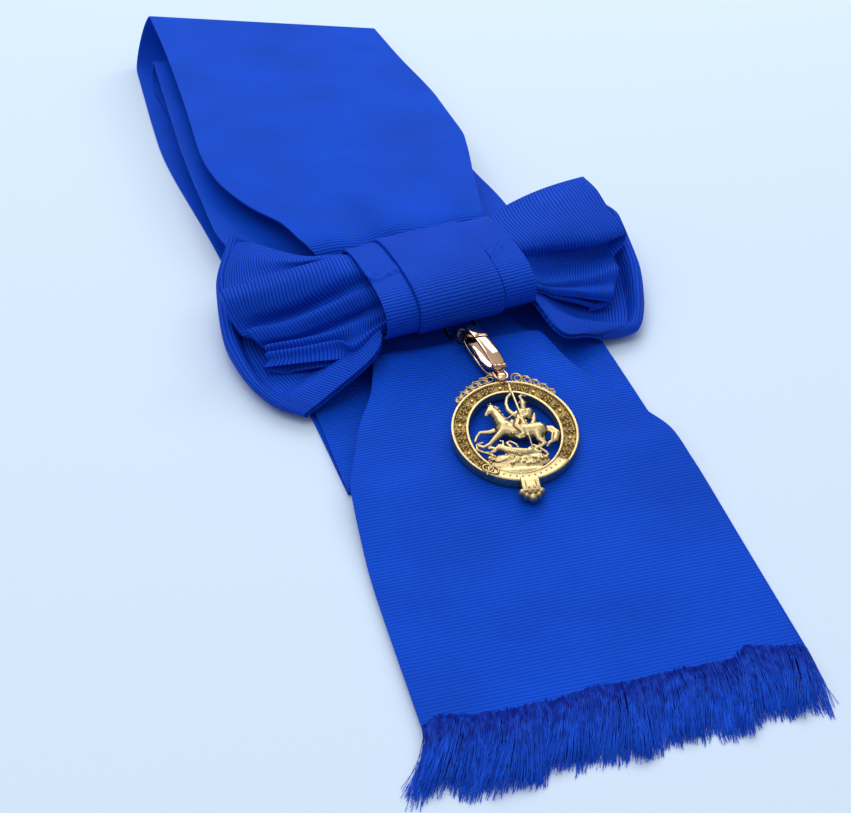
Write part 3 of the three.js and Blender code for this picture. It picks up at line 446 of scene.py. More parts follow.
SECOND_PLY = [
    (0.84, 0.035, -0.764, 0.216, 0, 0.51, 0, 0), (0.48, 0, -0.739, 0.24, 0, 0.42, 0.08, 0),
    (0.3, 0, -0.71, 0.27, 0, 0.37, 0.12, 0), (0.19, 0, -0.686, 0.27, 0, 0.32, 0.17, 0),
    (0.1, 0, -0.58, 0.22, 1, 0.1, 0.09, 0), (0.025, 0, -0.4, 0.16, 2, 0, 0, 0),
    (-0.1, 0, -0.26, 0.11, 2, 0, 0, 0),
]
FAR_BULGE = 10.0
INNER_BULGE = 6.0


def shoulder_loop():
    top = ply(TOP_PLY, 3, 150)
    bottom = ply(BOTTOM_PLY, 0, 60)
    third = ply(THIRD_PLY, 1, 60)
    second = ply(SECOND_PLY, 2, 90)
    parts = [top, turn(top, bottom, FAR_BULGE, 16), bottom, turn(bottom, third, -FAR_BULGE, 8), third,
             turn(third, second, INNER_BULGE, 12), second]
    net = strip(parts, 48, 2.5)
    plain = 0.25 + 2.0 * np.exp(-(np.maximum(net[..., 1] - 8, 0) / 13) ** 2)
    return riband("shoulder_loop_riband", net, SILK, "sash_loop", ribs=plain)


# Columns of a tail row: along, left, right, step, up, pleat
FRONT_TAIL = [
    (0, -0.27, 0.17, 3, 0, 0), (CREST * 0.537, -0.295, 0.2, 3, 0, 0),
    (CREST * 0.707, -0.302, 0.22, 3, 0.1, 0), (CREST * 0.854, -0.308, 0.235, 3, 0.8, 0.3),
    (CREST, -0.315, 0.248, 3, 1, 0.4), (0.3, -0.35, 0.285, 3, 0.72, 0.4),
    (0.4, -0.415, 0.355, 3, 0.48, 0.3), (0.5, -0.462, 0.44, 3, 0.2, 0.15), (0.58, -0.495, 0.49, 3, 0.05, 0),
    (0.7, -0.506, 0.503, 1.9, 0, 0), (0.85, -0.512, 0.503, 1, 0, 0), (HEM, -0.5, 0.503, 1, 0, 0),
]
REAR_TAIL = [
    (0, -0.26, 0.17, 2, 0, 0), (0.165, -0.3, 0.215, 2, 0, 0), (0.25, -0.33, 0.26, 2, 0, 0),
    (0.35, -0.37, 0.345, 1.8, 0, 0), (0.45, -0.425, 0.44, 1.4, 0, 0), (0.57, -0.47, 0.502, 0.9, 0, 0),
    (0.66, -0.48, 0.518, 0.4, 0, 0), (0.72, -0.48, 0.522, 0, 0, 0), (0.9, -0.485, 0.52, 0, 0, 0),
    (HEM, -0.485, 0.518, 0, 0, 0),
]


def tail(name, rows, node, count, waves):
    """A hanging end, laid over its fold to the hem."""
    t = eased(rows, np.linspace(0, 1, count))
    base = FIRST + t[:, 3] * LAYER + t[:, 4] * TAIL_CREST
    y = -t[:, 0] * TAIL_LONG - TAIL_START
    part = (np.stack([t[:, 1] * WIDTH, y, base], 1), np.stack([t[:, 2] * WIDTH, y, base], 1), t[:, 5])
    net = strip([part], 60, waves)
    return riband(name, net, SILK, node,
                  ribs=0.7 + 1.1 * smoothstep(-100, -50, net[..., 1]))


# How far the unravelled threads reach up over the cut edge: x, mm above it
HEM_WAVE = [
    (-50, 1.2), (-45, 3.2), (-37, 1.2), (-28, 0.5), (-16, 0.6), (-5, 1.8), (5, 1.2), (16, 1.5), (31, 1.2),
    (36, 4.6), (42, 2.6), (48, 1.2), (52, 1.0),
]


def fringe(name, node, left, right, resting, lift, count, phase, long=22.5):
    """Loose threads from the cut end, each a thin three-sided yarn that tapers to its tip. They start on
    the ply that resting counts, rise by lift where a lock stands up, and are up to long, in mm."""
    head = -TAIL_START - TAIL_LONG * HEM
    across = np.sort(rng.uniform(left, right, count))
    length = long * rng.uniform(0.8, 1.0, count) * (0.93 + 0.07 * np.sin(across * 0.21 + phase))
    # threads fan out to the left, in locks
    lean = (across - right) * 0.05 - 3.6 + np.sin(across * 0.5 + phase) * 1.6 + rng.normal(0, 1.1, count)
    wave = 0.5 + 0.5 * np.sin(across * 0.42 + phase)
    level_at = FIRST + resting * LAYER + rng.uniform(0.1, 0.75, count)
    hem_x, hem_y = zip(*HEM_WAVE)
    ragged = np.interp(across, hem_x, hem_y) + rng.normal(0, 0.35, count)
    stations = np.linspace(0, 1, 6)
    girth = rng.uniform(0.13, 0.22, count)
    points, faces, uvs = [], [], []
    ring = 3
    for k in range(count):
        first = len(points)
        for s in stations:
            x = across[k] + lean[k] * s ** 1.4 + 0.35 * math.sin(s * 5 + k)
            y = head + ragged[k] - length[k] * s
            z = level_at[k] + lift * wave[k] * math.sin(math.pi * s * 0.8) * (1 - 0.2 * s)
            z = max(z - (level_at[k] - 0.35) * s ** 1.5, 0.3)
            r = girth[k] * (1 - 0.45 * s)
            for c in range(ring):
                angle = 2 * math.pi * c / ring + k
                points.append((x + r * math.cos(angle), y, z + r * math.sin(angle)))
                uvs.append((across[k] * 0.1, s))
        for i in range(len(stations) - 1):
            for c in range(ring):
                a = first + i * ring + c
                b = first + i * ring + (c + 1) % ring
                faces.append((a, a + ring, b + ring, b))
        faces.append(tuple(first + c for c in range(ring)))
        end = first + (len(stations) - 1) * ring
        faces.append((end + 2, end + 1, end))
    mesh = bpy.data.meshes.new(name)
    mesh.from_pydata(((np.array(points) + SHIFT) * MM).tolist(), [], faces)
    piece = woven(name, mesh, np.array(uvs)[corners(mesh)], YARN)
    tie(piece, "sash", node)
    return piece


def smoothstep(low, high, value):
    t = np.clip((value - low) / (high - low), 0, 1)
    return t * t * (3 - 2 * t)


def outer_loop(name, node, rows, side, span, sag, fall, dip, belly, early):
    """Long loop of the bow. Rows go from the near to the far edge: out, aside, low, high as shares. side
    is -1 to the left and span its width at the band. sag and fall bend its lower and upper ply on the way
    out, dip hollows the upper one, and belly swells its near edge, nearer the band the smaller early is."""
    # how finely the net is drawn: across, along and round the outer end
    columns, steps, around = 70, 60, 14
    v = np.linspace(0, 1, columns + 1)
    table = eased(rows, v)
    end = np.stack([table[:, 0] * BOW_SPAN, table[:, 1] * BOW_SPAN], 1)
    waist_low = KNOT[2] - 0.292 * KNOT_TALL
    waist_high = KNOT[2] - 0.193 * KNOT_TALL

    def line(t, top):
        start = KNOT[:2] + ALONG_BOW[:2] * (side * (WAIST if t < 0 else KNOT_LONG / 2 + 0.5))
        start = start + np.outer((v - 0.5) * span, ACROSS_BOW[:2])
        t = max(t, 0)
        swell = math.sin(math.pi * t ** early) * (1 - v) ** 2.5
        xy = start + (end - start) * t - np.outer(swell * belly, ACROSS_BOW[:2])
        low = waist_low + (table[:, 2] * BOW_HIGH - waist_low) * t ** sag
        high = waist_high + (table[:, 3] * BOW_HIGH - waist_high) * t ** fall
        # the upper ply sags between its raised far edge and its near one, less at both ends of the loop
        hollow = dip * smoothstep(0.16, 0.34, v) * (1 - smoothstep(0.93, 1.0, v))
        crumple = 0.9 * np.sin(v * 17 + 3 * t) * (1 - v) * math.sin(math.pi * t)
        sunk = hollow * (1 - smoothstep(0.9, 0.985, t)) * smoothstep(0.0, 0.5, t)
        high = high - sunk + swell * belly * (0.3 if side < 0 else -0.12) + crumple
        # neither ply goes through the table or the other
        high = np.maximum(high, 2.2 + LAYER)
        low = np.clip(low, LAYER, high - 1.5)
        return np.concatenate([xy, (high if top else low)[:, None]], 1)

    net = [line(-1, False)] + [line(t, False) for t in np.linspace(0, 1, steps)]
    low, high, back = line(1, False), line(1, True), line(0.9, True)
    out = high[:, :2] - back[:, :2]
    out /= np.linalg.norm(out, axis=1, keepdims=True)
    for k in range(1, around):
        angle = math.pi * k / around
        z = low[:, 2] + (high[:, 2] - low[:, 2]) * (1 - math.cos(angle)) / 2
        bulge = np.minimum((high[:, 2] - low[:, 2]) / 2, 2.2) * math.sin(angle)
        net.append(np.concatenate([low[:, :2] + out * bulge[:, None], z[:, None]], 1))
    net += [line(t, True) for t in np.linspace(1, 0, steps)] + [line(-1, True)]
    return riband(name, np.array(net), SILK_BOW, node)


LEFT_OUTER = [
    (-0.735, -0.78, 0.13, 0.2), (-0.845, -0.675, 0.12, 0.215), (-0.93, -0.47, 0.12, 0.26),
    (-0.965, -0.22, 0.15, 0.36), (-0.95, 0.05, 0.27, 0.53), (-0.86, 0.3, 0.44, 0.74),
]
RIGHT_OUTER = [
    (0.585, -0.61, 0.16, 0.24), (0.74, -0.58, 0.12, 0.24), (0.84, -0.38, 0.13, 0.32),
    (0.89, -0.17, 0.2, 0.46), (0.9, 0.08, 0.36, 0.64), (0.8, 0.22, 0.52, 0.74),
]


# Pleat lines of the upper loops, each from the outer end to the band, in mm
LEFT_PLEATS = [
    [(-63.2, 21.5, 17.5), (-57.4, 15.5, 18.5), (-50.5, 6.8, 20), (-44, -0.8, 22), (-36.5, -4.5, 23.5)],
    [(-67.9, 8.1, 18), (-61.3, 5.6, 19.5), (-53.7, 0.6, 21), (-46.2, -4, 22.6), (-35.5, -6.5, 24)],
    [(-70.6, -3.1, 16.4), (-61.9, -3.2, 17.8), (-52, -4.5, 19.5), (-42.2, -6, 21.8), (-33.1, -8, 23.6)],
    [(-71.2, -12.5, 17.2), (-61.8, -12.6, 18.4), (-52, -12.8, 20), (-42.1, -12.8, 22.2),
     (-32.6, -11.5, 24)],
    [(-72.6, -10.2, 19.4), (-61.8, -9, 20.9), (-52, -9.3, 22.8), (-42.1, -9.5, 24.6), (-32.5, -9.2, 25.6)],
    [(-72.8, -12, 20.6), (-61.8, -11.4, 22.2), (-51.9, -11.8, 24.2), (-41.9, -11.6, 26),
     (-32.1, -11.2, 26.6)],
    [(-72.3, -16.2, 19.8), (-61.8, -16.7, 21.8), (-51.7, -16.9, 24), (-41.7, -16, 26),
     (-31.7, -15.1, 26.9)],
    [(-70.7, -18.6, 15.5), (-61.2, -20, 17.5), (-51.1, -20.9, 20.2), (-41.1, -20.1, 23.4),
     (-31, -19.6, 26)],
    [(-68.3, -20.9, 10.8), (-58, -20.7, 12.4), (-48, -20.6, 15), (-38.1, -20.9, 18.6), (-29.6, -21.8, 22)],
    [(-66.1, -25.3, 14.3), (-55.7, -26.6, 15.6), (-46.8, -27, 18), (-37.8, -26.9, 21),
     (-29.4, -27.6, 24.2)],
    [(-64.1, -27.9, 12), (-53.8, -28.9, 13), (-44.8, -28.8, 15.5), (-36.3, -29, 18.5), (-28.4, -30.2, 22)],
    [(-62.2, -27.6, 8.8), (-51.8, -28.6, 9.8), (-42.5, -29, 12.2), (-33.9, -29.3, 15.4),
     (-27.2, -30.6, 19)],
    [(-62.3, -30.8, 11.2), (-51.3, -32.3, 12.6), (-42.1, -34.3, 14.9), (-34, -34.6, 17.4),
     (-27.5, -34.8, 19.4)],
    [(-61.8, -31.5, 8.4), (-50.7, -33.6, 9.8), (-40.6, -35.8, 11.8), (-35.8, -38.8, 14),
     (-27.4, -36.4, 17.4)],
    [(-62.6, -33.6, 10.4), (-51.2, -35.6, 11.9), (-41, -37.8, 14), (-36.8, -42.6, 15.6),
     (-27, -37.6, 17.4)],
    [(-62, -34.8, 8.4), (-51.4, -36.9, 9.6), (-40.4, -39.2, 11.4), (-35.8, -43.4, 13.2),
     (-26.8, -38, 16.2)],
    [(-64, -36.6, 7.2), (-51.7, -38.8, 8.4), (-41.1, -41.9, 10), (-34, -43.8, 11.8), (-26.6, -38, 15.6)],
]
RIGHT_PLEATS = [
    [(59.3, 19.2, 25), (48.9, 16.1, 25.5), (38.5, 12.4, 25.6), (27.6, 7.2, 25.4), (17.4, 0.6, 25.2)],
    [(60.6, 9.5, 25.4), (48.9, 6.4, 26.4), (37.6, 3.4, 26.6), (27.2, -0.4, 26.2), (18, -5, 25.8)],
    [(61.3, -0.5, 24), (49.6, -2.6, 25.8), (38.5, -4.6, 26.5), (28, -7.4, 26.5), (19, -11.2, 26.2)],
    [(62.8, -7, 22.6), (51.4, -10, 24.2), (41, -11.2, 25.2), (30.2, -13, 25.8), (20.4, -15.8, 26)],
    [(64.2, -10.4, 20.6), (52.6, -14.4, 22), (42.6, -15, 22.8), (32, -16, 23.6), (21.4, -18.2, 24.6)],
    [(63.8, -9.6, 18.2), (52.8, -13.6, 19), (43, -14.4, 19.6), (32.7, -15.4, 20.8), (22.2, -18, 22.6)],
    [(61.4, -7.6, 16), (51.8, -10.4, 16.2), (42.6, -12, 16.6), (33.4, -13.8, 17.8), (23.4, -17.6, 20.2)],
    [(60, -9.6, 12.6), (51.6, -12.8, 12.8), (42.9, -15, 13.4), (33.4, -17.6, 14.8), (24.6, -20.2, 18)],
    [(58.8, -16, 13), (49.8, -18.6, 13.2), (41, -20.8, 14), (32.2, -23.4, 15.4), (25, -23.6, 17.6)],
    [(57.6, -22, 13.6), (47.7, -24.2, 13.8), (39.6, -25.6, 14.8), (31.8, -26.7, 15.8), (25.3, -26, 17.2)],
    [(55.4, -25.6, 10.4), (47, -26.6, 11.4), (39.8, -27.2, 12.7), (32, -27.6, 14.6), (25.5, -27, 16.6)],
    [(52.4, -31.2, 11.6), (45.8, -30.4, 12.2), (40.2, -29.5, 13), (33, -28.9, 14.4), (25.8, -28, 16.4)],
    [(51, -32.4, 8.8), (45.6, -31.2, 9.8), (40.2, -30.1, 11), (33, -29.4, 12.9), (25.8, -28.4, 15.8)],
]


def pleated_loop(name, node, lines, side):
    """Upper loop of the bow: its top follows the pleat lines, turns under at the outer end, and both
    plies run on through the band. side is -1 to the left."""
    lines = np.array(lines, float)
    mouth = lines[:, -1]
    inside = mouth.copy()
    depth = (mouth[:, :2] - KNOT[:2]) @ ACROSS_BOW[:2]
    inside[:, :2] = KNOT[:2] + ALONG_BOW[:2] * (side * WAIST) + np.outer(depth * 0.8, ACROSS_BOW[:2])
    inside[:, 2] = KNOT[2] + (mouth[:, 2] - KNOT[2]) * 0.35 + 1.5
    lines = np.concatenate([lines, inside[:, None]], 1)
    # rounded across the pleats, a dozen steps from each line to the next
    across = curved(lines, np.linspace(0, 1, 12 * (len(lines) - 1) + 1))
    t = np.concatenate([np.linspace(0, 0.8, 52), np.linspace(0.8, 1, 10)[1:]])
    top = curved(across.transpose(1, 0, 2), t)
    end, second = top[0], top[4]
    out = end[:, :2] - second[:, :2]
    out /= np.linalg.norm(out, axis=1, keepdims=True)
    floor_z = np.minimum(end[:, 2] - 2.2, end[:, 2] * 0.55)

    def under(push, drop):
        z = end[:, 2] + (floor_z - end[:, 2]) * drop
        return np.concatenate([end[:, :2] + out * push, z[:, None]], 1)

    # the outer end turns under: mm outwards and share of the way down
    turned_in = ((0.5, 0.1), (0.6, 0.25), (0.1, 0.42), (-1.2, 0.6), (-3.4, 0.8), (-6.5, 1.0))
    lip = [under(push, drop) for push, drop in turned_in]
    low = []
    for s in np.linspace(0.14, 1, 26):
        row = curved(across.transpose(1, 0, 2), [s])[0]
        z_end = KNOT[2] - 1.5 + (row[:, 2] - KNOT[2]) * 0.15
        z = floor_z + (z_end - floor_z) * s ** 1.3
        low.append(np.concatenate([row[:, :2], np.minimum(z, row[:, 2] - 1.2)[:, None]], 1))
    net = list(reversed(top)) + lip + low
    return riband(name, np.array(net), SILK_BOW, node)


def knot_band():
    """Band round the waist of the bow: squarish in section, a lower strip and a raised edge at each side."""
    flatness, around = 2.6, 220
    # from and to, as shares of the band's length, and how many columns of points between
    edges = [(-0.5, -0.297, 9), (-0.286, -0.276, 2), (-0.26, 0.255, 24), (0.268, 0.278, 2), (0.29, 0.5, 9)]
    shares = np.concatenate([np.linspace(*edge) for edge in edges])
    angle = np.linspace(0, 2 * math.pi, around, endpoint=False)

    def power(value):
        return np.sign(value) * np.abs(value) ** (2 / flatness)

    # the side strips lie lower, with a raised edge where they begin
    drop = np.where((shares < -0.28) | (shares > 0.272), 1.0, 0.0)
    drop += 1.1 * (np.abs(shares - np.where(shares < 0, -0.288, 0.28)) < 0.004)
    net = np.empty((around, len(shares), 3))
    for j, share in enumerate(shares):
        across = power(np.cos(angle)) * (KNOT_DEEP / 2 - drop[j])
        pinch = np.zeros(around)
        if abs(share) > 0.28:
            middle = np.interp(share, *zip(*PINCH))
            for k in (-1, 0, 1):
                pinch += 0.75 * np.exp(-((across - middle - 1.5 * k) / 0.45) ** 2) * (np.sin(angle) > 0)
        net[:, j] = KNOT + ALONG_BOW * (share * KNOT_LONG) + np.outer(across, ACROSS_BOW)
        net[:, j, 2] += power(np.sin(angle)) * (KNOT_TALL / 2 - drop[j]) + pinch
    front = 0.3 + 0.7 * smoothstep(0.35, 0.75, -np.cos(angle))[:, None]
    return riband("knot_band_riband", net, SILK_BOW, "knot_band", around=True,
                  ribs=front)


front_fringe = fringe("front_fringe_yarn", "front_fringe", -0.5 * WIDTH, 0.503 * WIDTH, resting=1, lift=2.6,
                      count=1500, phase=0.4)
rear_fringe = fringe("rear_fringe_yarn", "rear_fringe", -0.485 * WIDTH, 0.516 * WIDTH, resting=0, lift=0.4,
                     count=900, phase=2.2)
loop_piece = shoulder_loop()
rear_piece = tail("rear_tail_riband", REAR_TAIL, "rear_tail", 90, 2)
tail("front_tail_riband", FRONT_TAIL, "front_tail", 160, 2.5)
outer_loop("bow_left_outer_riband", "bow_left_outer", LEFT_OUTER, side=-1, span=30, sag=2, fall=0.7,
           dip=7.0, belly=7.0, early=0.5)
outer_loop("bow_right_outer_riband", "bow_right_outer", RIGHT_OUTER, side=1, span=30, sag=1.6, fall=0.9,
           dip=7.0, belly=17.0, early=0.36)
pleated_loop("bow_left_inner_riband", "bow_left_inner", LEFT_PLEATS, -1)
pleated_loop("bow_right_inner_riband", "bow_right_inner", RIGHT_PLEATS, 1)
knot_band()

# Cast badge
# Badge frame: x to the right, y up the badge, z out of its face, in mm round the oval's middle.
BADGE_AT = np.array([0.9, -87.5, 7.03])
BACK = -1.5                                 # heights of its back, its rims and the sunk field between them
FACE = 1.5
FIELD = 0.6
BADGE_TIP = math.radians(6.2)               # it lies tipped up by this at its far edge
BADGE_TURN = math.radians(-7.5)             # and askew by this
BADGE_FRAME = (Matrix.Translation(Vector((BADGE_AT + SHIFT) * MM)) @ Matrix.Rotation(BADGE_TIP, 4, "X")
               @ Matrix.Rotation(BADGE_TURN, 4, "Z") @ Matrix.Translation((0, 0, -BACK * MM))
               @ Matrix.Scale(MM, 4))
OUTER = (18.75, 19.9, 0.6, 0.7)             # half width, half height, middle x, middle y
INNER = (13.5, 15.9, 0.4, -0.1)


def finish_piece(piece, material, place, node, slot, body="sash", angle=35, bevel=0.0, segments=2):
    """Puts a modelled piece at its place, with its edges softened, and ties it to the model."""
    choose(piece)
    if bevel:
        soften = piece.modifiers.new("soft_edges", "BEVEL")
        soften.width = bevel
        soften.segments = segments
        soften.limit_method = "ANGLE"
        soften.angle_limit = math.radians(angle)
        bpy.ops.object.modifier_apply(modifier=soften.name)
    edit(face_outwards)
    bpy.ops.object.shade_smooth_by_angle(angle=METAL_CREASE)
    piece.data.transform(place)
    piece.data.materials.clear()
    piece.data.materials.append(material)
    tie(piece, body, node)


def cast(piece, **more):
    """Finishes a piece of the badge in cast gold."""
    finish_piece(piece, GOLD, BADGE_FRAME, "badge", "cast_gold", **more)


def oval_point(oval, angle, inset=0.0):
    return ((oval[0] - inset) * math.cos(angle) + oval[2], (oval[1] - inset) * math.sin(angle) + oval[3])


def between(angle, share):
    """A point of the band at an angle: share 0 on the opening's edge, 1 on the outer edge."""
    inner, outer = oval_point(INNER, angle), oval_point(OUTER, angle)
    return tuple(p + (q - p) * share for p, q in zip(inner, outer))


def oval_band():
    """The strap bent to an oval: one section drawn round it, ring by ring, and closed at the back."""
    piece = blank("badge_oval_band")
    rim = 0.14
    section = [(0, FACE - 0.1), (0.02, FACE), (rim, FACE), (rim + 0.03, FIELD), (0.97 - rim, FIELD),
               (1 - rim, FACE), (0.98, FACE), (1, FACE - 0.1), (1, BACK)]

    def ring_sizes(share):
        return tuple(a + (b - a) * share for a, b in zip(INNER, OUTER))

    def draw():
        half_w, half_h, mid_x, mid_y = ring_sizes(0)
        bpy.ops.mesh.primitive_circle_add(vertices=144, radius=1, location=(mid_x, mid_y, BACK))
        bpy.ops.transform.resize(value=(half_w, half_h, 1), center_override=(mid_x, mid_y, BACK))
        was = (half_w, half_h, mid_x, mid_y, BACK)
        for share, z in section:
            now = ring_sizes(share) + (z,)
            move = (now[2] - was[2], now[3] - was[3], now[4] - was[4])
            bpy.ops.mesh.extrude_region_move(TRANSFORM_OT_translate={"value": move})
            bpy.ops.transform.resize(value=(now[0] / was[0], now[1] / was[1], 1), center_override=now[2:])
            was = now
        bpy.ops.mesh.select_all(action="DESELECT")
        bpy.ops.mesh.select_non_manifold()
        bpy.ops.mesh.bridge_edge_loops()

    edit(draw)
    cast(piece, bevel=0.09)
    piece.data.materials.append(FIELD_GOLD)
    place_back = BADGE_FRAME.inverted()
    for face in piece.data.polygons:
        if abs((place_back @ face.center).z - FIELD) < 0.12:
            face.material_index = 1


def copies_round(name, pattern, spots):
    """Copies of a small relief, one at each spot (x, y, z, turn, size), in one piece."""
    made = []
    for x, y, z, turn_by, size in spots:
        copy = bpy.data.objects.new(name, pattern.data.copy())
        place = Matrix.Translation((x, y, z)) @ Matrix.Rotation(turn_by, 4, "Z") @ Matrix.Scale(size, 4)
        copy.data.transform(place)
        scene.collection.objects.link(copy)
        made.append(copy)
    deselect()
    for copy in made:
        copy.select_set(True)
    bpy.context.view_layer.objects.active = made[0]
    bpy.ops.object.join()
    bpy.data.objects.remove(pattern)
    cast(made[0])


def ball(x, y, z, sx, sy, sz, turn_by=0.0, rings=8):
    """An egg-shaped lump of a relief, pressed flat and turned in its plane."""
    bpy.ops.mesh.select_all(action="DESELECT")
    bpy.ops.mesh.primitive_uv_sphere_add(segments=rings * 2, ring_count=rings, radius=1, location=(x, y, z))
    bpy.ops.transform.resize(value=(sx, sy, sz), center_override=(x, y, z))
    if turn_by:
        bpy.ops.transform.rotate(value=turn_by, orient_axis="Z", center_override=(x, y, z))


def rosette_pattern():
    piece = blank("rosette")

    def draw():
        for k in range(5):
            angle = 2 * math.pi * k / 5 + 0.3
            ball(0.52 * math.cos(angle), 0.52 * math.sin(angle), 0, 0.34, 0.22, 0.5, angle, rings=5)
        ball(0, 0, 0.1, 0.22, 0.22, 0.5, rings=5)

    edit(draw)
    return piece


def leaf_pattern():
    piece = blank("leaf_spray")

    def draw():
        ball(0, 0, 0, 0.15, 1.02, 0.52, rings=5)
        for side in (-1, 1):
            ball(side * 0.42, 0.45, 0, 0.15, 0.5, 0.5, side * -0.7, rings=5)
            ball(side * 0.42, -0.35, 0, 0.15, 0.5, 0.5, side * -0.7, rings=5)

    edit(draw)
    return piece


def lozenge_pattern():
    piece = blank("lozenge")

    def draw():
        bpy.ops.mesh.primitive_cone_add(vertices=4, radius1=0.62, radius2=0.24, depth=0.5,
                                        location=(0, 0, 0.08))
        for side in (-1, 1):
            ball(0, side * 0.95, 0, 0.22, 0.22, 0.42, rings=4)

    edit(draw)
    return piece


def band_ornament():
    """Flowers, sprays and lozenges in turn round the band, from the buckle over the top to the strap."""
    kinds = (rosette_pattern, leaf_pattern, lozenge_pattern, leaf_pattern)
    names = ("badge_flowers", "badge_leaf_sprays", "badge_lozenges", "badge_leaf_tips")
    count = 30
    start, sweep = math.radians(227), math.radians(-272)
    spots = [[] for _ in kinds]
    for k in range(count):
        angle = start + sweep * (k + 0.5) / count
        x, y = between(angle, 0.5)
        near = between(angle + 0.01, 0.5)
        heading = math.atan2(near[1] - y, near[0] - x)
        spots[k % 4].append((x, y, FIELD, heading, 1.75 if k % 4 else 1.85))
    for kind, name, places in zip(kinds, names, spots):
        copies_round(name, kind(), places)


def strap_foot():
    """The strap's free end, which lies along the foot of the oval, with its row of eyelets."""
    piece = blank("badge_strap_foot")
    steps = 30
    start, sweep = math.radians(231), math.radians(86)

    # cross bars are laid side by side, then filled between: the strap's curved top and its two edge beads
    verts, faces = [], []
    bands = [(0.03, 1.0), (0.06, 1.62), (0.14, 1.66), (0.2, 1.44), (0.5, 1.5), (0.8, 1.44), (0.86, 1.66),
             (0.95, 1.62), (0.99, 1.0)]
    for k in range(steps + 1):
        angle = start + sweep * k / steps
        for share, z in bands:
            verts.append(between(angle, share) + (z,))
    width = len(bands)
    for k in range(steps):
        for j in range(width - 1):
            a = k * width + j
            faces.append((a, a + 1, a + width + 1, a + width))
        faces.append((k * width, (k + 1) * width, (k + 2) * width - 1, (k + 1) * width - 1))
    faces.append(tuple(range(width)))
    faces.append(tuple(steps * width + j for j in reversed(range(width))))
    piece.data.from_pydata(verts, [], faces)
    cast(piece, bevel=0.06)
    # eyelets along the strap
    dot = blank("eyelet")
    edit(lambda: ball(0, 0, 0, 0.27, 0.27, 0.2, rings=6))
    spots = []
    for k in range(13):
        angle = start + sweep * (k + 0.7) / 13.4
        spots.append(between(angle, 0.5) + (1.55, 0.0, 1.0))
    copies_round("badge_eyelets", dot, spots)


def hanging_tab():
    """The strap's end below the oval, and its three-lobed chape."""
    piece = blank("badge_tab")

    def draw():
        bpy.ops.mesh.primitive_cube_add(size=1, location=(1.5, -20.6, 0.35))
        bpy.ops.transform.resize(value=(5.4, 5.2, 2.9), center_override=(1.5, -20.6, 0.35))
        bpy.ops.mesh.select_all(action="SELECT")
        bpy.ops.mesh.subdivide(number_cuts=2)

    edit(draw)
    cast(piece, bevel=0.3, segments=3)
    lobes = blank("badge_chape")

    def petals():
        for x, y, sx, sy in ((-1.2, -22.9, 1.35, 1.1), (4.2, -22.9, 1.35, 1.1), (1.5, -24.9, 1.5, 1.45),
                             (-0.2, -24.3, 1.1, 1.0), (3.2, -24.3, 1.1, 1.0), (1.5, -22.6, 2.2, 1.5)):
            ball(x, y, 0.3, sx, sy, 1.5)
        for k in range(3):
            angle = math.radians(210 + 60 * k)
            ball(1.5 + 1.0 * math.cos(angle), -23.2 + 1.0 * math.sin(angle), 1.5, 0.62, 0.3, 0.6, angle)
        for k in (0, 1):
            ball(0.7 + 1.6 * k, -22.1, 1.6, 0.55, 0.3, 0.5, math.radians(120 - 60 * k))
        ball(1.5, -23.2, 1.75, 0.36, 0.36, 0.42)
        for side in (-1, 1):
            ball(1.5 + side * 1.5, -20.6, 1.8, 0.22, 1.5, 0.3)

    edit(petals)
    cast(lobes)


def ring_bead(x, y, z, radius, wire, tilt, squash, around=24, tube=8):
    """A ring of wire in a relief, pressed to an oval and turned in its plane."""
    bpy.ops.mesh.select_all(action="DESELECT")
    bpy.ops.mesh.primitive_torus_add(major_radius=radius, minor_radius=wire, major_segments=around,
                                     minor_segments=tube, location=(x, y, z))
    bpy.ops.transform.resize(value=(1, squash, 1), center_override=(x, y, z))
    bpy.ops.transform.rotate(value=tilt, orient_axis="Z", center_override=(x, y, z))


def buckle():
    """Two rings of wire side by side with a pin over them, at the strap's lower left."""
    piece = blank("badge_buckle")
    mid = between(math.radians(234), 0.5)
    lean = math.radians(40)

    def draw():
        for along in (-0.95, 0.95):
            x = mid[0] + along * math.cos(lean)
            y = mid[1] - 0.2 + along * math.sin(lean) * -0.6
            ring_bead(x, y, 1.75, 1.55, 0.36, lean, 0.82, tube=10)
        ball(mid[0], mid[1], 1.95, 0.3, 2.2, 0.3, lean)
        ball(mid[0] + 0.4, mid[1] + 2.1, 1.8, 0.5, 0.5, 0.45)
        ball(mid[0] - 1.2, mid[1] - 2.0, 1.8, 0.55, 0.45, 0.45)

    edit(draw)
    cast(piece)


def cresting():
    """Open scrollwork on the upper shoulders: leaning loops of wire that grow towards the top."""
    piece = blank("badge_cresting")

    def draw():
        for side, first, last, count in ((-1, 137, 101, 6), (1, 46, 78, 5)):
            for k in range(count):
                share = k / (count - 1)
                angle = math.radians(first + (last - first) * share)
                x, y = oval_point(OUTER, angle)
                size = 1.25 + 1.1 * share
                lift = size * 0.75
                out = (math.cos(angle) * lift, math.sin(angle) * lift)
                ring_bead(x + out[0], y + out[1], 0.6, size, 0.35, angle, 0.72)
                ring_bead(x + out[0] * 1.1 + side * 0.2, y + out[1] * 1.1, 0.75, size * 0.5, 0.27,
                          angle + 0.6, 0.8, around=16)
                ball(x + out[0] * 2.3, y + out[1] * 2.3, 0.6, 0.3, 0.3, 0.3, rings=5)
                step = math.radians((last - first) / (count - 1) / 2)
                bx, by = oval_point(OUTER, angle + step, -0.35)
                ball(bx, by, 0.55, 0.34, 0.34, 0.5, rings=5)

    edit(draw)
    cast(piece)


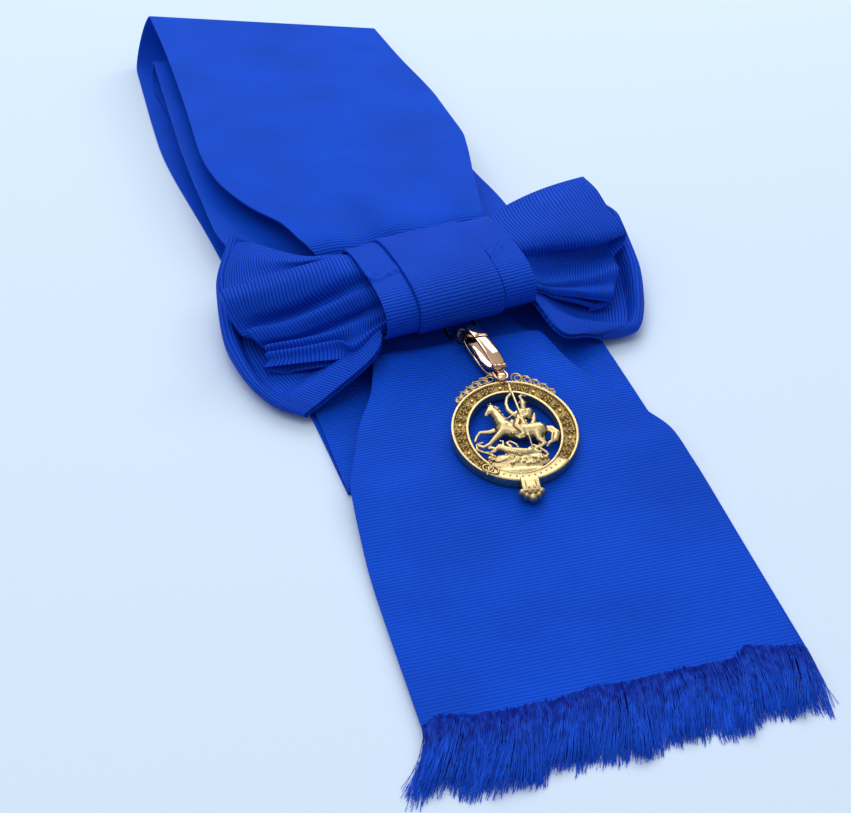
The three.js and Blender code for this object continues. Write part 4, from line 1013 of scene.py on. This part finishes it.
def limb(p, q, rp, rq):
    """A tapering limb between two joints, with a round joint at its start."""
    p, q = Vector(p), Vector(q)
    way = q - p
    turn_to = way.to_track_quat("Z", "Y").to_euler()
    bpy.ops.mesh.primitive_cone_add(vertices=12, radius1=rp, radius2=rq, depth=way.length,
                                    location=(p + q) / 2, rotation=turn_to)
    bpy.ops.mesh.primitive_ico_sphere_add(subdivisions=2, radius=rp * 1.03, location=p)


def chain(points):
    """Limbs joined end to end: each point is x, y, z and its radius."""
    for a, b in zip(points[:-1], points[1:]):
        limb(a[:3], b[:3], a[3], b[3])
    x, y, z, radius = points[-1]
    bpy.ops.mesh.primitive_ico_sphere_add(subdivisions=2, radius=radius * 1.03, location=(x, y, z))


# Limbs of the figures: each row is one limb, each point x, y, z and a radius in mm of the badge frame.
HORSE = [
    # neck, head, muzzle
    [(-2.2, 2.2, 0.6, 2.7), (-3.2, 5.2, 0.7, 2.0), (-4.2, 8.2, 0.8, 1.45), (-5.1, 10.2, 0.8, 1.1)],
    [(-5.0, 10.4, 0.8, 1.15), (-5.9, 9.2, 0.8, 0.95), (-6.7, 8.0, 0.8, 0.68), (-6.9, 7.6, 0.8, 0.6)],
    [(-5.4, 11.1, 0.5, 0.42), (-5.7, 12.2, 0.5, 0.16)],
    [(-4.9, 11.2, 1.1, 0.42), (-5.0, 12.3, 1.1, 0.16)],
    # trunk, chest to rump
    [(-2.6, 1.8, 0.5, 2.6), (0.6, 0.6, 0.5, 2.7), (4.2, 0.2, 0.5, 2.6), (7.6, 0.4, 0.5, 2.75)],
    # far and near forelegs
    [(-3.6, 2.2, -0.1, 1.25), (-6.6, 1.4, -0.2, 0.82), (-9.6, 1.5, -0.2, 0.6), (-10.7, 0.1, -0.2, 0.45),
     (-11.5, -1.7, -0.2, 0.5)],
    [(-3.2, 0.4, 1.2, 1.4), (-5.4, -1.9, 1.2, 0.95), (-7.7, -4.3, 1.2, 0.62), (-9.6, -5.2, 1.1, 0.5),
     (-10.9, -4.4, 1.0, 0.55)],
    # far and near hind legs
    [(7.9, -1.0, -0.2, 1.7), (8.4, -3.6, -0.2, 0.9), (6.6, -5.4, -0.2, 0.6), (4.8, -6.4, -0.2, 0.52)],
    [(7.0, -0.8, 1.1, 1.9), (7.1, -3.4, 1.2, 1.05), (8.6, -5.3, 1.2, 0.62), (7.0, -6.5, 1.2, 0.5),
     (5.6, -6.9, 1.1, 0.55)],
    # tail
    [(9.7, 1.5, 0.3, 0.7), (11.6, 0.9, 0.4, 0.95), (12.9, -1.2, 0.5, 1.1), (12.0, -3.6, 0.5, 0.95),
     (9.9, -4.9, 0.6, 0.55), (9.1, -6.2, 0.6, 0.3)],
    [(10.2, 0.6, 0.8, 0.4), (11.5, -1.6, 1.2, 0.55), (10.8, -3.9, 1.2, 0.35)],
    # saddle cloth edge, girth
    [(-0.4, 3.0, 1.7, 0.5), (-1.0, 1.0, 2.3, 0.45), (-0.4, -1.4, 2.2, 0.4)],
    [(4.3, 2.7, 1.6, 0.5), (4.6, 0.8, 2.3, 0.45), (4.0, -1.6, 2.2, 0.4)],
    # reins and noseband
    [(-4.6, 9.0, 1.9, 0.2), (-3.9, 6.2, 2.1, 0.2), (-2.6, 4.9, 2.2, 0.2), (-0.6, 4.9, 2.2, 0.2),
     (0.4, 6.0, 2.0, 0.2)],
    [(-6.6, 8.7, 1.4, 0.2), (-5.2, 9.0, 1.8, 0.2)],
]
MANE = [[(-3.9 + 0.35 * k, 10.6 - 1.15 * k, 0.9, 0.5), (-2.7 + 0.45 * k, 10.0 - 1.35 * k, 1.0, 0.22)]
        for k in range(6)]
RIDER = [
    # trunk, belt and skirt of the coat
    [(2.3, 2.8, 0.7, 1.9), (2.8, 5.2, 0.7, 1.65), (3.9, 7.6, 0.7, 1.7), (4.4, 8.6, 0.7, 1.3)],
    [(1.2, 3.9, 1.5, 0.5), (4.3, 3.7, 1.5, 0.5)],
    [(1.2, 2.4, 1.2, 1.0), (0.6, 0.4, 1.9, 0.9)],
    [(3.6, 2.2, 1.2, 1.0), (3.4, 0.4, 1.9, 0.8)],
    # neck and head
    [(4.6, 9.2, 0.8, 0.75), (4.7, 10.6, 0.9, 1.0), (4.7, 11.4, 0.9, 1.02)],
    # helmet brim, crest, plume
    [(3.5, 11.6, 1.0, 0.3), (4.7, 12.0, 1.5, 0.32), (5.9, 11.6, 1.0, 0.3)],
    [(4.7, 12.2, 0.9, 0.85), (4.7, 12.9, 0.9, 0.5)],
    [(4.6, 13.0, 0.9, 0.4), (4.3, 14.2, 0.9, 0.55), (5.3, 14.9, 0.9, 0.5), (6.2, 14.3, 0.9, 0.3)],
    # raised arm, elbow out to the left, hand on the lance
    [(3.2, 8.2, 0.7, 0.95), (1.2, 7.0, 0.8, 0.8), (-0.1, 9.2, 0.8, 0.72), (-0.3, 11.4, 0.8, 0.66),
     (0.4, 14.0, 0.9, 0.52), (1.7, 15.3, 1.1, 0.6)],
    # near arm to the lance
    [(5.3, 7.9, 1.2, 0.95), (5.2, 5.9, 1.7, 0.75), (3.2, 4.9, 2.1, 0.6)],
    # round shoulder guard and cloak
    [(5.7, 7.4, 1.3, 1.45), (5.4, 6.2, 1.2, 1.3)],
    [(6.2, 9.0, 0.2, 0.6), (7.3, 6.9, 0.1, 0.85), (6.9, 4.4, 0.1, 0.9), (5.9, 2.6, 0.3, 0.9)],
    [(7.0, 8.0, 0.0, 0.4), (7.6, 6.6, 0.0, 0.35), (6.6, 3.4, 0.0, 0.6)],
    # near leg, boot, spur and stirrup
    [(1.8, 3.4, 2.2, 1.15), (0.9, 0.9, 3.1, 1.0), (2.1, -0.9, 3.2, 0.75), (2.7, -2.4, 3.1, 0.62),
     (1.3, -3.1, 3.1, 0.55)],
    [(0.3, -2.9, 3.0, 0.3), (1.2, -3.9, 3.0, 0.3), (2.6, -3.5, 3.0, 0.3)],
    [(3.0, -2.4, 2.3, 0.25), (3.9, -2.1, 2.3, 0.25)],
]
LANCE = [
    [(1.8, 19.4, 1.5, 0.34), (2.0, 17.2, 1.6, 0.4), (2.9, 8.0, 2.2, 0.4), (4.1, -2.6, 2.3, 0.32),
     (4.5, -7.2, 1.8, 0.26)],
    [(1.8, 16.9, 1.6, 0.62), (1.85, 16.2, 1.6, 0.62)],
]
BEAST = [
    # body on its back, neck, gaping head, wing, coiled tail, claws
    [(-6.3, -6.3, 0.5, 0.75), (-4.9, -5.2, 0.7, 1.0), (-3.0, -6.6, 0.8, 1.2), (-0.6, -7.5, 0.8, 1.35),
     (2.4, -7.9, 0.7, 1.3), (4.6, -7.6, 0.6, 1.0), (6.4, -8.3, 0.5, 0.7)],
    [(-6.2, -6.2, 0.8, 0.85), (-7.4, -5.3, 0.8, 0.5), (-8.1, -5.6, 0.8, 0.3)],
    [(-6.6, -6.9, 0.8, 0.5), (-7.7, -6.9, 0.8, 0.3)],
    [(-1.6, -5.6, 0.8, 0.55), (-2.6, -3.9, 0.6, 0.45), (-1.5, -3.1, 0.5, 0.35), (0.2, -4.6, 0.6, 0.4),
     (0.6, -6.4, 0.8, 0.5)],
    [(-3.9, -5.1, 1.2, 0.45), (-3.6, -3.6, 1.3, 0.3), (-4.5, -3.2, 1.3, 0.22)],
    [(3.5, -7.0, 1.2, 0.5), (5.0, -5.8, 1.3, 0.38), (6.2, -6.6, 1.3, 0.3), (7.4, -7.6, 1.0, 0.4),
     (8.6, -8.8, 0.8, 0.4)],
    [(-9.4, -2.4, -0.4, 0.4), (-11.2, -3.0, -0.4, 0.42), (-11.4, -4.9, -0.4, 0.45), (-9.8, -6.0, -0.3, 0.5),
     (-8.1, -6.9, -0.1, 0.6), (-7.3, -8.2, 0.2, 0.6)],
]


ROCKS = 26


def mound_lumps():
    """Rocky ground: broken ridges that run down the mound."""
    local = np.random.default_rng(4)
    for k in range(ROCKS):
        x = -8.6 + 17.4 * (k + 0.5) / ROCKS
        y = local.uniform(-13.0 + 0.028 * x * x, -8.4 - 0.012 * x * x)
        ball(x, y, 0.9, local.uniform(0.5, 1.2), local.uniform(0.28, 0.6), local.uniform(0.5, 1.1),
             local.uniform(-0.9, 0.9), rings=6)
    ball(0.3, -10.9, 0.0, 8.8, 2.8, 1.2, rings=12)
    ball(-3.8, -9.9, 0.1, 5.4, 1.9, 1.3, rings=10)
    ball(4.6, -10.2, 0.0, 4.6, 2.0, 1.2, rings=10)
    ball(0.4, -14.2, -0.1, 8.0, 1.9, 1.0, rings=10)


VOXEL = 0.17                                # mm: finer than the thinnest wire of the group


def figure_group():
    """Rider, horse, beast and rocks cast as one openwork relief: rough forms run together, then eased."""
    piece = blank("badge_rider_group")

    def draw():
        for group in (HORSE, MANE, RIDER, LANCE, BEAST):
            for points in group:
                chain(points)
        mound_lumps()
        # face: brow, nose, cheeks and chin on plain proportions
        ball(4.35, 11.5, 1.75, 0.16, 0.28, 0.2, rings=6)
        ball(4.6, 10.75, 1.6, 0.42, 0.3, 0.3, rings=6)
        # knee plate and saddle bow
        ball(0.9, 0.3, 2.7, 0.8, 0.8, 0.5, rings=6)
        ball(0.2, 3.9, 1.6, 0.5, 0.9, 0.6, rings=6)

    edit(draw)
    remesh = piece.modifiers.new("run_together", "REMESH")
    remesh.mode = "VOXEL"
    remesh.voxel_size = VOXEL
    bpy.ops.object.modifier_apply(modifier=remesh.name)
    ease = piece.modifiers.new("eased", "SMOOTH")
    ease.factor = 0.5
    ease.iterations = 3
    bpy.ops.object.modifier_apply(modifier=ease.name)
    edit(lambda: (bpy.ops.mesh.select_all(action="SELECT"),
                  bpy.ops.transform.resize(value=(1, 1, 0.82), center_override=(0, 0, 0.3))))
    cast(piece)


oval_band()
band_ornament()
strap_foot()
buckle()
hanging_tab()
cresting()
figure_group()

# Clip bail, link and eye
# Bail frame: x across the strap, y along the bail towards the eye, z out of its front leaf, in mm.
BAIL_LONG = 21.3
BAIL_DEEP = 6.5
BAIL_WIDE = 5.2
BAIL_WALL = 0.9
BAIL_LEAN = math.radians(15)                # its face leans to the right by this
SEAM = math.radians(14)                     # where the leaf meets the back strap, round the oval
HINGE = math.radians(-58)                   # where it turns
BARREL = 0.85                               # radius of the hinge's barrels
KNUCKLE = BAIL_WIDE * 0.36                  # length of the leaf's own barrel
PIN = 0.34                                  # radius of the hinge's pin
LUG_RADIUS = 1.75
LINK_RADIUS = 2.25
LINK_WIRE = 0.5
LUG_MIDDLE = Vector((0, 21.95, 2.4 + BACK))
LINK_MIDDLE = LUG_MIDDLE + Vector((0, LUG_RADIUS + LINK_WIRE / 2, 0))


def bail_frame():
    """The bail hangs from the eye at a slant, with its foot in the link."""
    foot = BADGE_FRAME @ LINK_MIDDLE + Vector((-0.15, 0.75, 0.1)) * MM
    axis = Vector((-0.22, 1, 0.17)).normalized()
    face = Vector((math.sin(BAIL_LEAN), 0, math.cos(BAIL_LEAN)))
    face = (face - axis * face.dot(axis)).normalized()
    side = axis.cross(face).normalized()
    middle = foot + axis * (BAIL_LONG - BAIL_WALL) / 2 * MM
    turned = Matrix((side, axis, face)).transposed().to_4x4()
    return Matrix.Translation(middle) @ turned @ Matrix.Scale(MM, 4)


BAIL_FRAME = bail_frame()


SQUARENESS = 0.8                            # below 1 the bail's oval is fuller than an ellipse
TAPER = 0.62                                # how much narrower the strap is at the oval's two ends


def bail_point(angle, out=0.0):
    """Point of the bail's oval at an angle from its front, and how narrow the strap is there."""
    c, s = math.cos(angle), math.sin(angle)
    y = math.copysign(abs(s) ** SQUARENESS, s) * ((BAIL_LONG - BAIL_WALL) / 2 + out)
    z = math.copysign(abs(c) ** SQUARENESS, c) * ((BAIL_DEEP - BAIL_WALL) / 2 + out)
    return y, z, 1 - TAPER * abs(s) ** 6


def bail_strap(name, start, end, steps, node, body):
    """A flat grid wrapped round part of the oval, given its wall, and eased at the edges."""
    piece = blank(name)
    edit(lambda: bpy.ops.mesh.primitive_grid_add(x_subdivisions=8, y_subdivisions=steps, size=1))
    for vertex in piece.data.vertices:
        across, share = vertex.co.x, vertex.co.y + 0.5
        crown = 0.22 * (1 - (2 * across) ** 2)
        y, z, narrow = bail_point(start + (end - start) * share, crown)
        vertex.co = (across * BAIL_WIDE * narrow, y, z)
    wall = piece.modifiers.new("wall", "SOLIDIFY")
    wall.thickness = BAIL_WALL - 0.15
    wall.offset = 0
    bpy.context.view_layer.objects.active = piece
    bpy.ops.object.modifier_apply(modifier=wall.name)
    finish_piece(piece, ROSE, BAIL_FRAME, node, "rose_gold", body=body, bevel=0.16, segments=3, angle=50)


def rod_across(name, y, z, radius, start, end, node="bail_body", body="sash"):
    """A rod of rose gold across the strap, from start to end."""
    piece = blank(name)
    edit(lambda: bpy.ops.mesh.primitive_cylinder_add(vertices=40, radius=radius, depth=end - start,
                                                     location=((start + end) / 2, y, z),
                                                     rotation=(0, math.radians(90), 0)))
    finish_piece(piece, ROSE, BAIL_FRAME, node, "rose_gold", body=body, bevel=0.12, segments=3)


def bail():
    """Back strap, front leaf and the hinge between them."""
    bail_strap("bail_back_strap", SEAM, 2 * math.pi + HINGE, 90, "bail_body", "sash")
    bail_strap("bail_front_leaf", SEAM - 0.05, HINGE + 0.14, 40, "bail_leaf", "leaf")
    y, z, _ = bail_point(HINGE)
    half = BAIL_WIDE / 2 * 0.86
    rod_across("bail_barrel_left", y, z, BARREL, -half, -KNUCKLE / 2 - 0.15)
    rod_across("bail_barrel_right", y, z, BARREL, KNUCKLE / 2 + 0.15, half)
    rod_across("bail_hinge_pin", y, z, PIN, -half - 0.12, half + 0.12)
    rod_across("bail_leaf_barrel", y, z, BARREL, -KNUCKLE / 2, KNUCKLE / 2, "bail_leaf", "leaf")
    # ridge of the catch where the leaf snaps shut
    y, z, _ = bail_point(SEAM + 0.05, 0.55)
    rod_across("bail_catch_ridge", y, z, 0.26, -half * 0.92, half * 0.92)


def rings():
    """The lug at the top of the badge and the ring that joins it to the bail."""
    lug = blank("badge_lug")

    def draw():
        bpy.ops.mesh.primitive_torus_add(major_radius=LUG_RADIUS, minor_radius=0.45, major_segments=48,
                                         minor_segments=14, location=LUG_MIDDLE,
                                         rotation=(0, math.radians(90), 0))
        bpy.ops.transform.resize(value=(2.9, 1, 1), center_override=LUG_MIDDLE)

    edit(draw)
    finish_piece(lug, ROSE, BADGE_FRAME, "badge", "cast_gold")
    ring = blank("badge_link_ring")
    edit(lambda: bpy.ops.mesh.primitive_torus_add(major_radius=LINK_RADIUS, minor_radius=LINK_WIRE,
                                                  major_segments=56, minor_segments=14))
    turned = BAIL_FRAME.copy()
    turned.translation = BADGE_FRAME @ LINK_MIDDLE
    finish_piece(ring, ROSE, turned, "badge_link", "rose_gold")


def dark_wire(name, points, radius, node):
    """Round wire along a smooth path through the points, in drafting mm."""
    data = bpy.data.curves.new(name, "CURVE")
    data.dimensions = "3D"
    path = data.splines.new("BEZIER")
    path.bezier_points.add(len(points) - 1)
    for spot, at in zip(path.bezier_points, points):
        spot.co = at
        spot.handle_left_type = spot.handle_right_type = "AUTO"
    data.bevel_depth = radius
    data.bevel_resolution = 6
    data.resolution_u = 10
    data.use_fill_caps = True
    blank(name, data)
    bpy.ops.object.convert(target="MESH")
    place = Matrix.Translation(Vector(SHIFT * MM)) @ Matrix.Scale(MM, 4)
    finish_piece(bpy.context.object, DARK, place, node, "dark_metal")


def hanger():
    """The dark eye, sewn on under the band, that the bail hangs from, and the ring of its hook."""
    eye_wire = 0.62
    y, z, _ = bail_point(math.pi / 2)
    top = BAIL_FRAME @ Vector((0, y - (BAIL_WALL / 2 + 0.9 + eye_wire), z))
    top = np.array(top) / MM - SHIFT
    half = BAIL_WIDE * 0.95
    ply_half, gap = 0.55, 0.3
    low = level(5) + ply_half + gap + eye_wire
    x, y, z = top
    dark_wire("hanger_eye_wire", [
        (x - half, KNOT[1] - 6, low), (x - half, y + 6.5, low), (x - half, y + 3.4, (low + z) / 2),
        (x - 3.2, y + 0.1, z + 1.7), (x, y, z), (x + 3.1, y + 0.2, z - 1.9),
        (x + half * 0.97, y + 3.2, low + (z - low) * 0.25), (x + half, y + 6.4, low),
        (x + half, KNOT[1] - 6, low),
    ], eye_wire, "hanger_eye")
    # the ring of the hook that grips the bail's top
    hook = blank("hanger_hook_ring")
    leaning = (math.radians(70), 0, math.radians(35))
    edit(lambda: bpy.ops.mesh.primitive_torus_add(major_radius=1.75, minor_radius=0.72, major_segments=48,
                                                  minor_segments=16, rotation=leaning))
    spot = Vector((x - 3.1, y - 0.5, z - 0.6)) + Vector(SHIFT)
    finish_piece(hook, DARK, Matrix.Translation(spot * MM) @ Matrix.Scale(MM, 4), "hanger_eye", "dark_metal")


bail()
rings()
hanger()


# Table and light
# Table's side in metres: so wide that its far edge lies about on the horizon in low views.
FLOOR_SIZE = 40


def make_stage():
    """A plain pale card under all."""
    deselect()
    bpy.ops.mesh.primitive_plane_add(size=FLOOR_SIZE, location=(0, 0, 0))
    floor = bpy.context.object
    floor.name = "table_top"
    deselect()
    material, _ = new_material("matt_pale_card", "#E0F0FF", 0.95, Specular_IOR_Level=0.05)
    floor.data.materials.append(material)


def soft_light(name, place, aim, size, watts):
    data = bpy.data.lights.new(name, "AREA")
    data.shape = "SQUARE"
    data.size = size
    data.energy = watts
    lamp = bpy.data.objects.new(name, data)
    lamp.location = place
    lamp.rotation_mode = "QUATERNION"
    lamp.rotation_quaternion = (Vector(aim) - Vector(place)).to_track_quat("-Z", "Y")
    scene.collection.objects.link(lamp)


def room_light():
    """Room: bright overhead, dim from a little above the horizon down, so that polished metal has
    contrast."""
    room = bpy.data.worlds.new("room")
    room.use_nodes = True
    scene.world = room
    where = add_node(room, "TexCoord").outputs["Generated"]
    height = add_node(room, "SeparateXYZ", i0=where).outputs["Z"]
    ramp = add_node(room, "ValToRGB", i0=height)
    stops = ramp.color_ramp.elements
    stops[0].position, stops[1].position = 0.0, 0.95
    stops[0].color, stops[1].color = colour("#10141C"), colour("#F4F8FF")
    for place, tone in ((0.3, "#28303C"), (0.4, "#C4CEDE")):
        stops.new(place).color = colour(tone)
    back = room.node_tree.nodes["Background"]
    back.inputs["Strength"].default_value = 0.72
    link(room, ramp.outputs[0], back.inputs["Color"])


scene.view_settings.view_transform = "Standard"
make_stage()
soft_light("window_behind", (0.25, 1.2, 1.15), (0, 0, 0), size=1.1, watts=9.6)
soft_light("overhead_soft", (-0.4, -0.1, 1.5), (0, 0, 0), size=1.2, watts=5.8)
# Small lamp that the front of the clip bail mirrors.
soft_light("highlight_lamp", (0.70, 0.71, 0.64), (0, -0.06, 0), size=0.3, watts=1.3)
room_light()
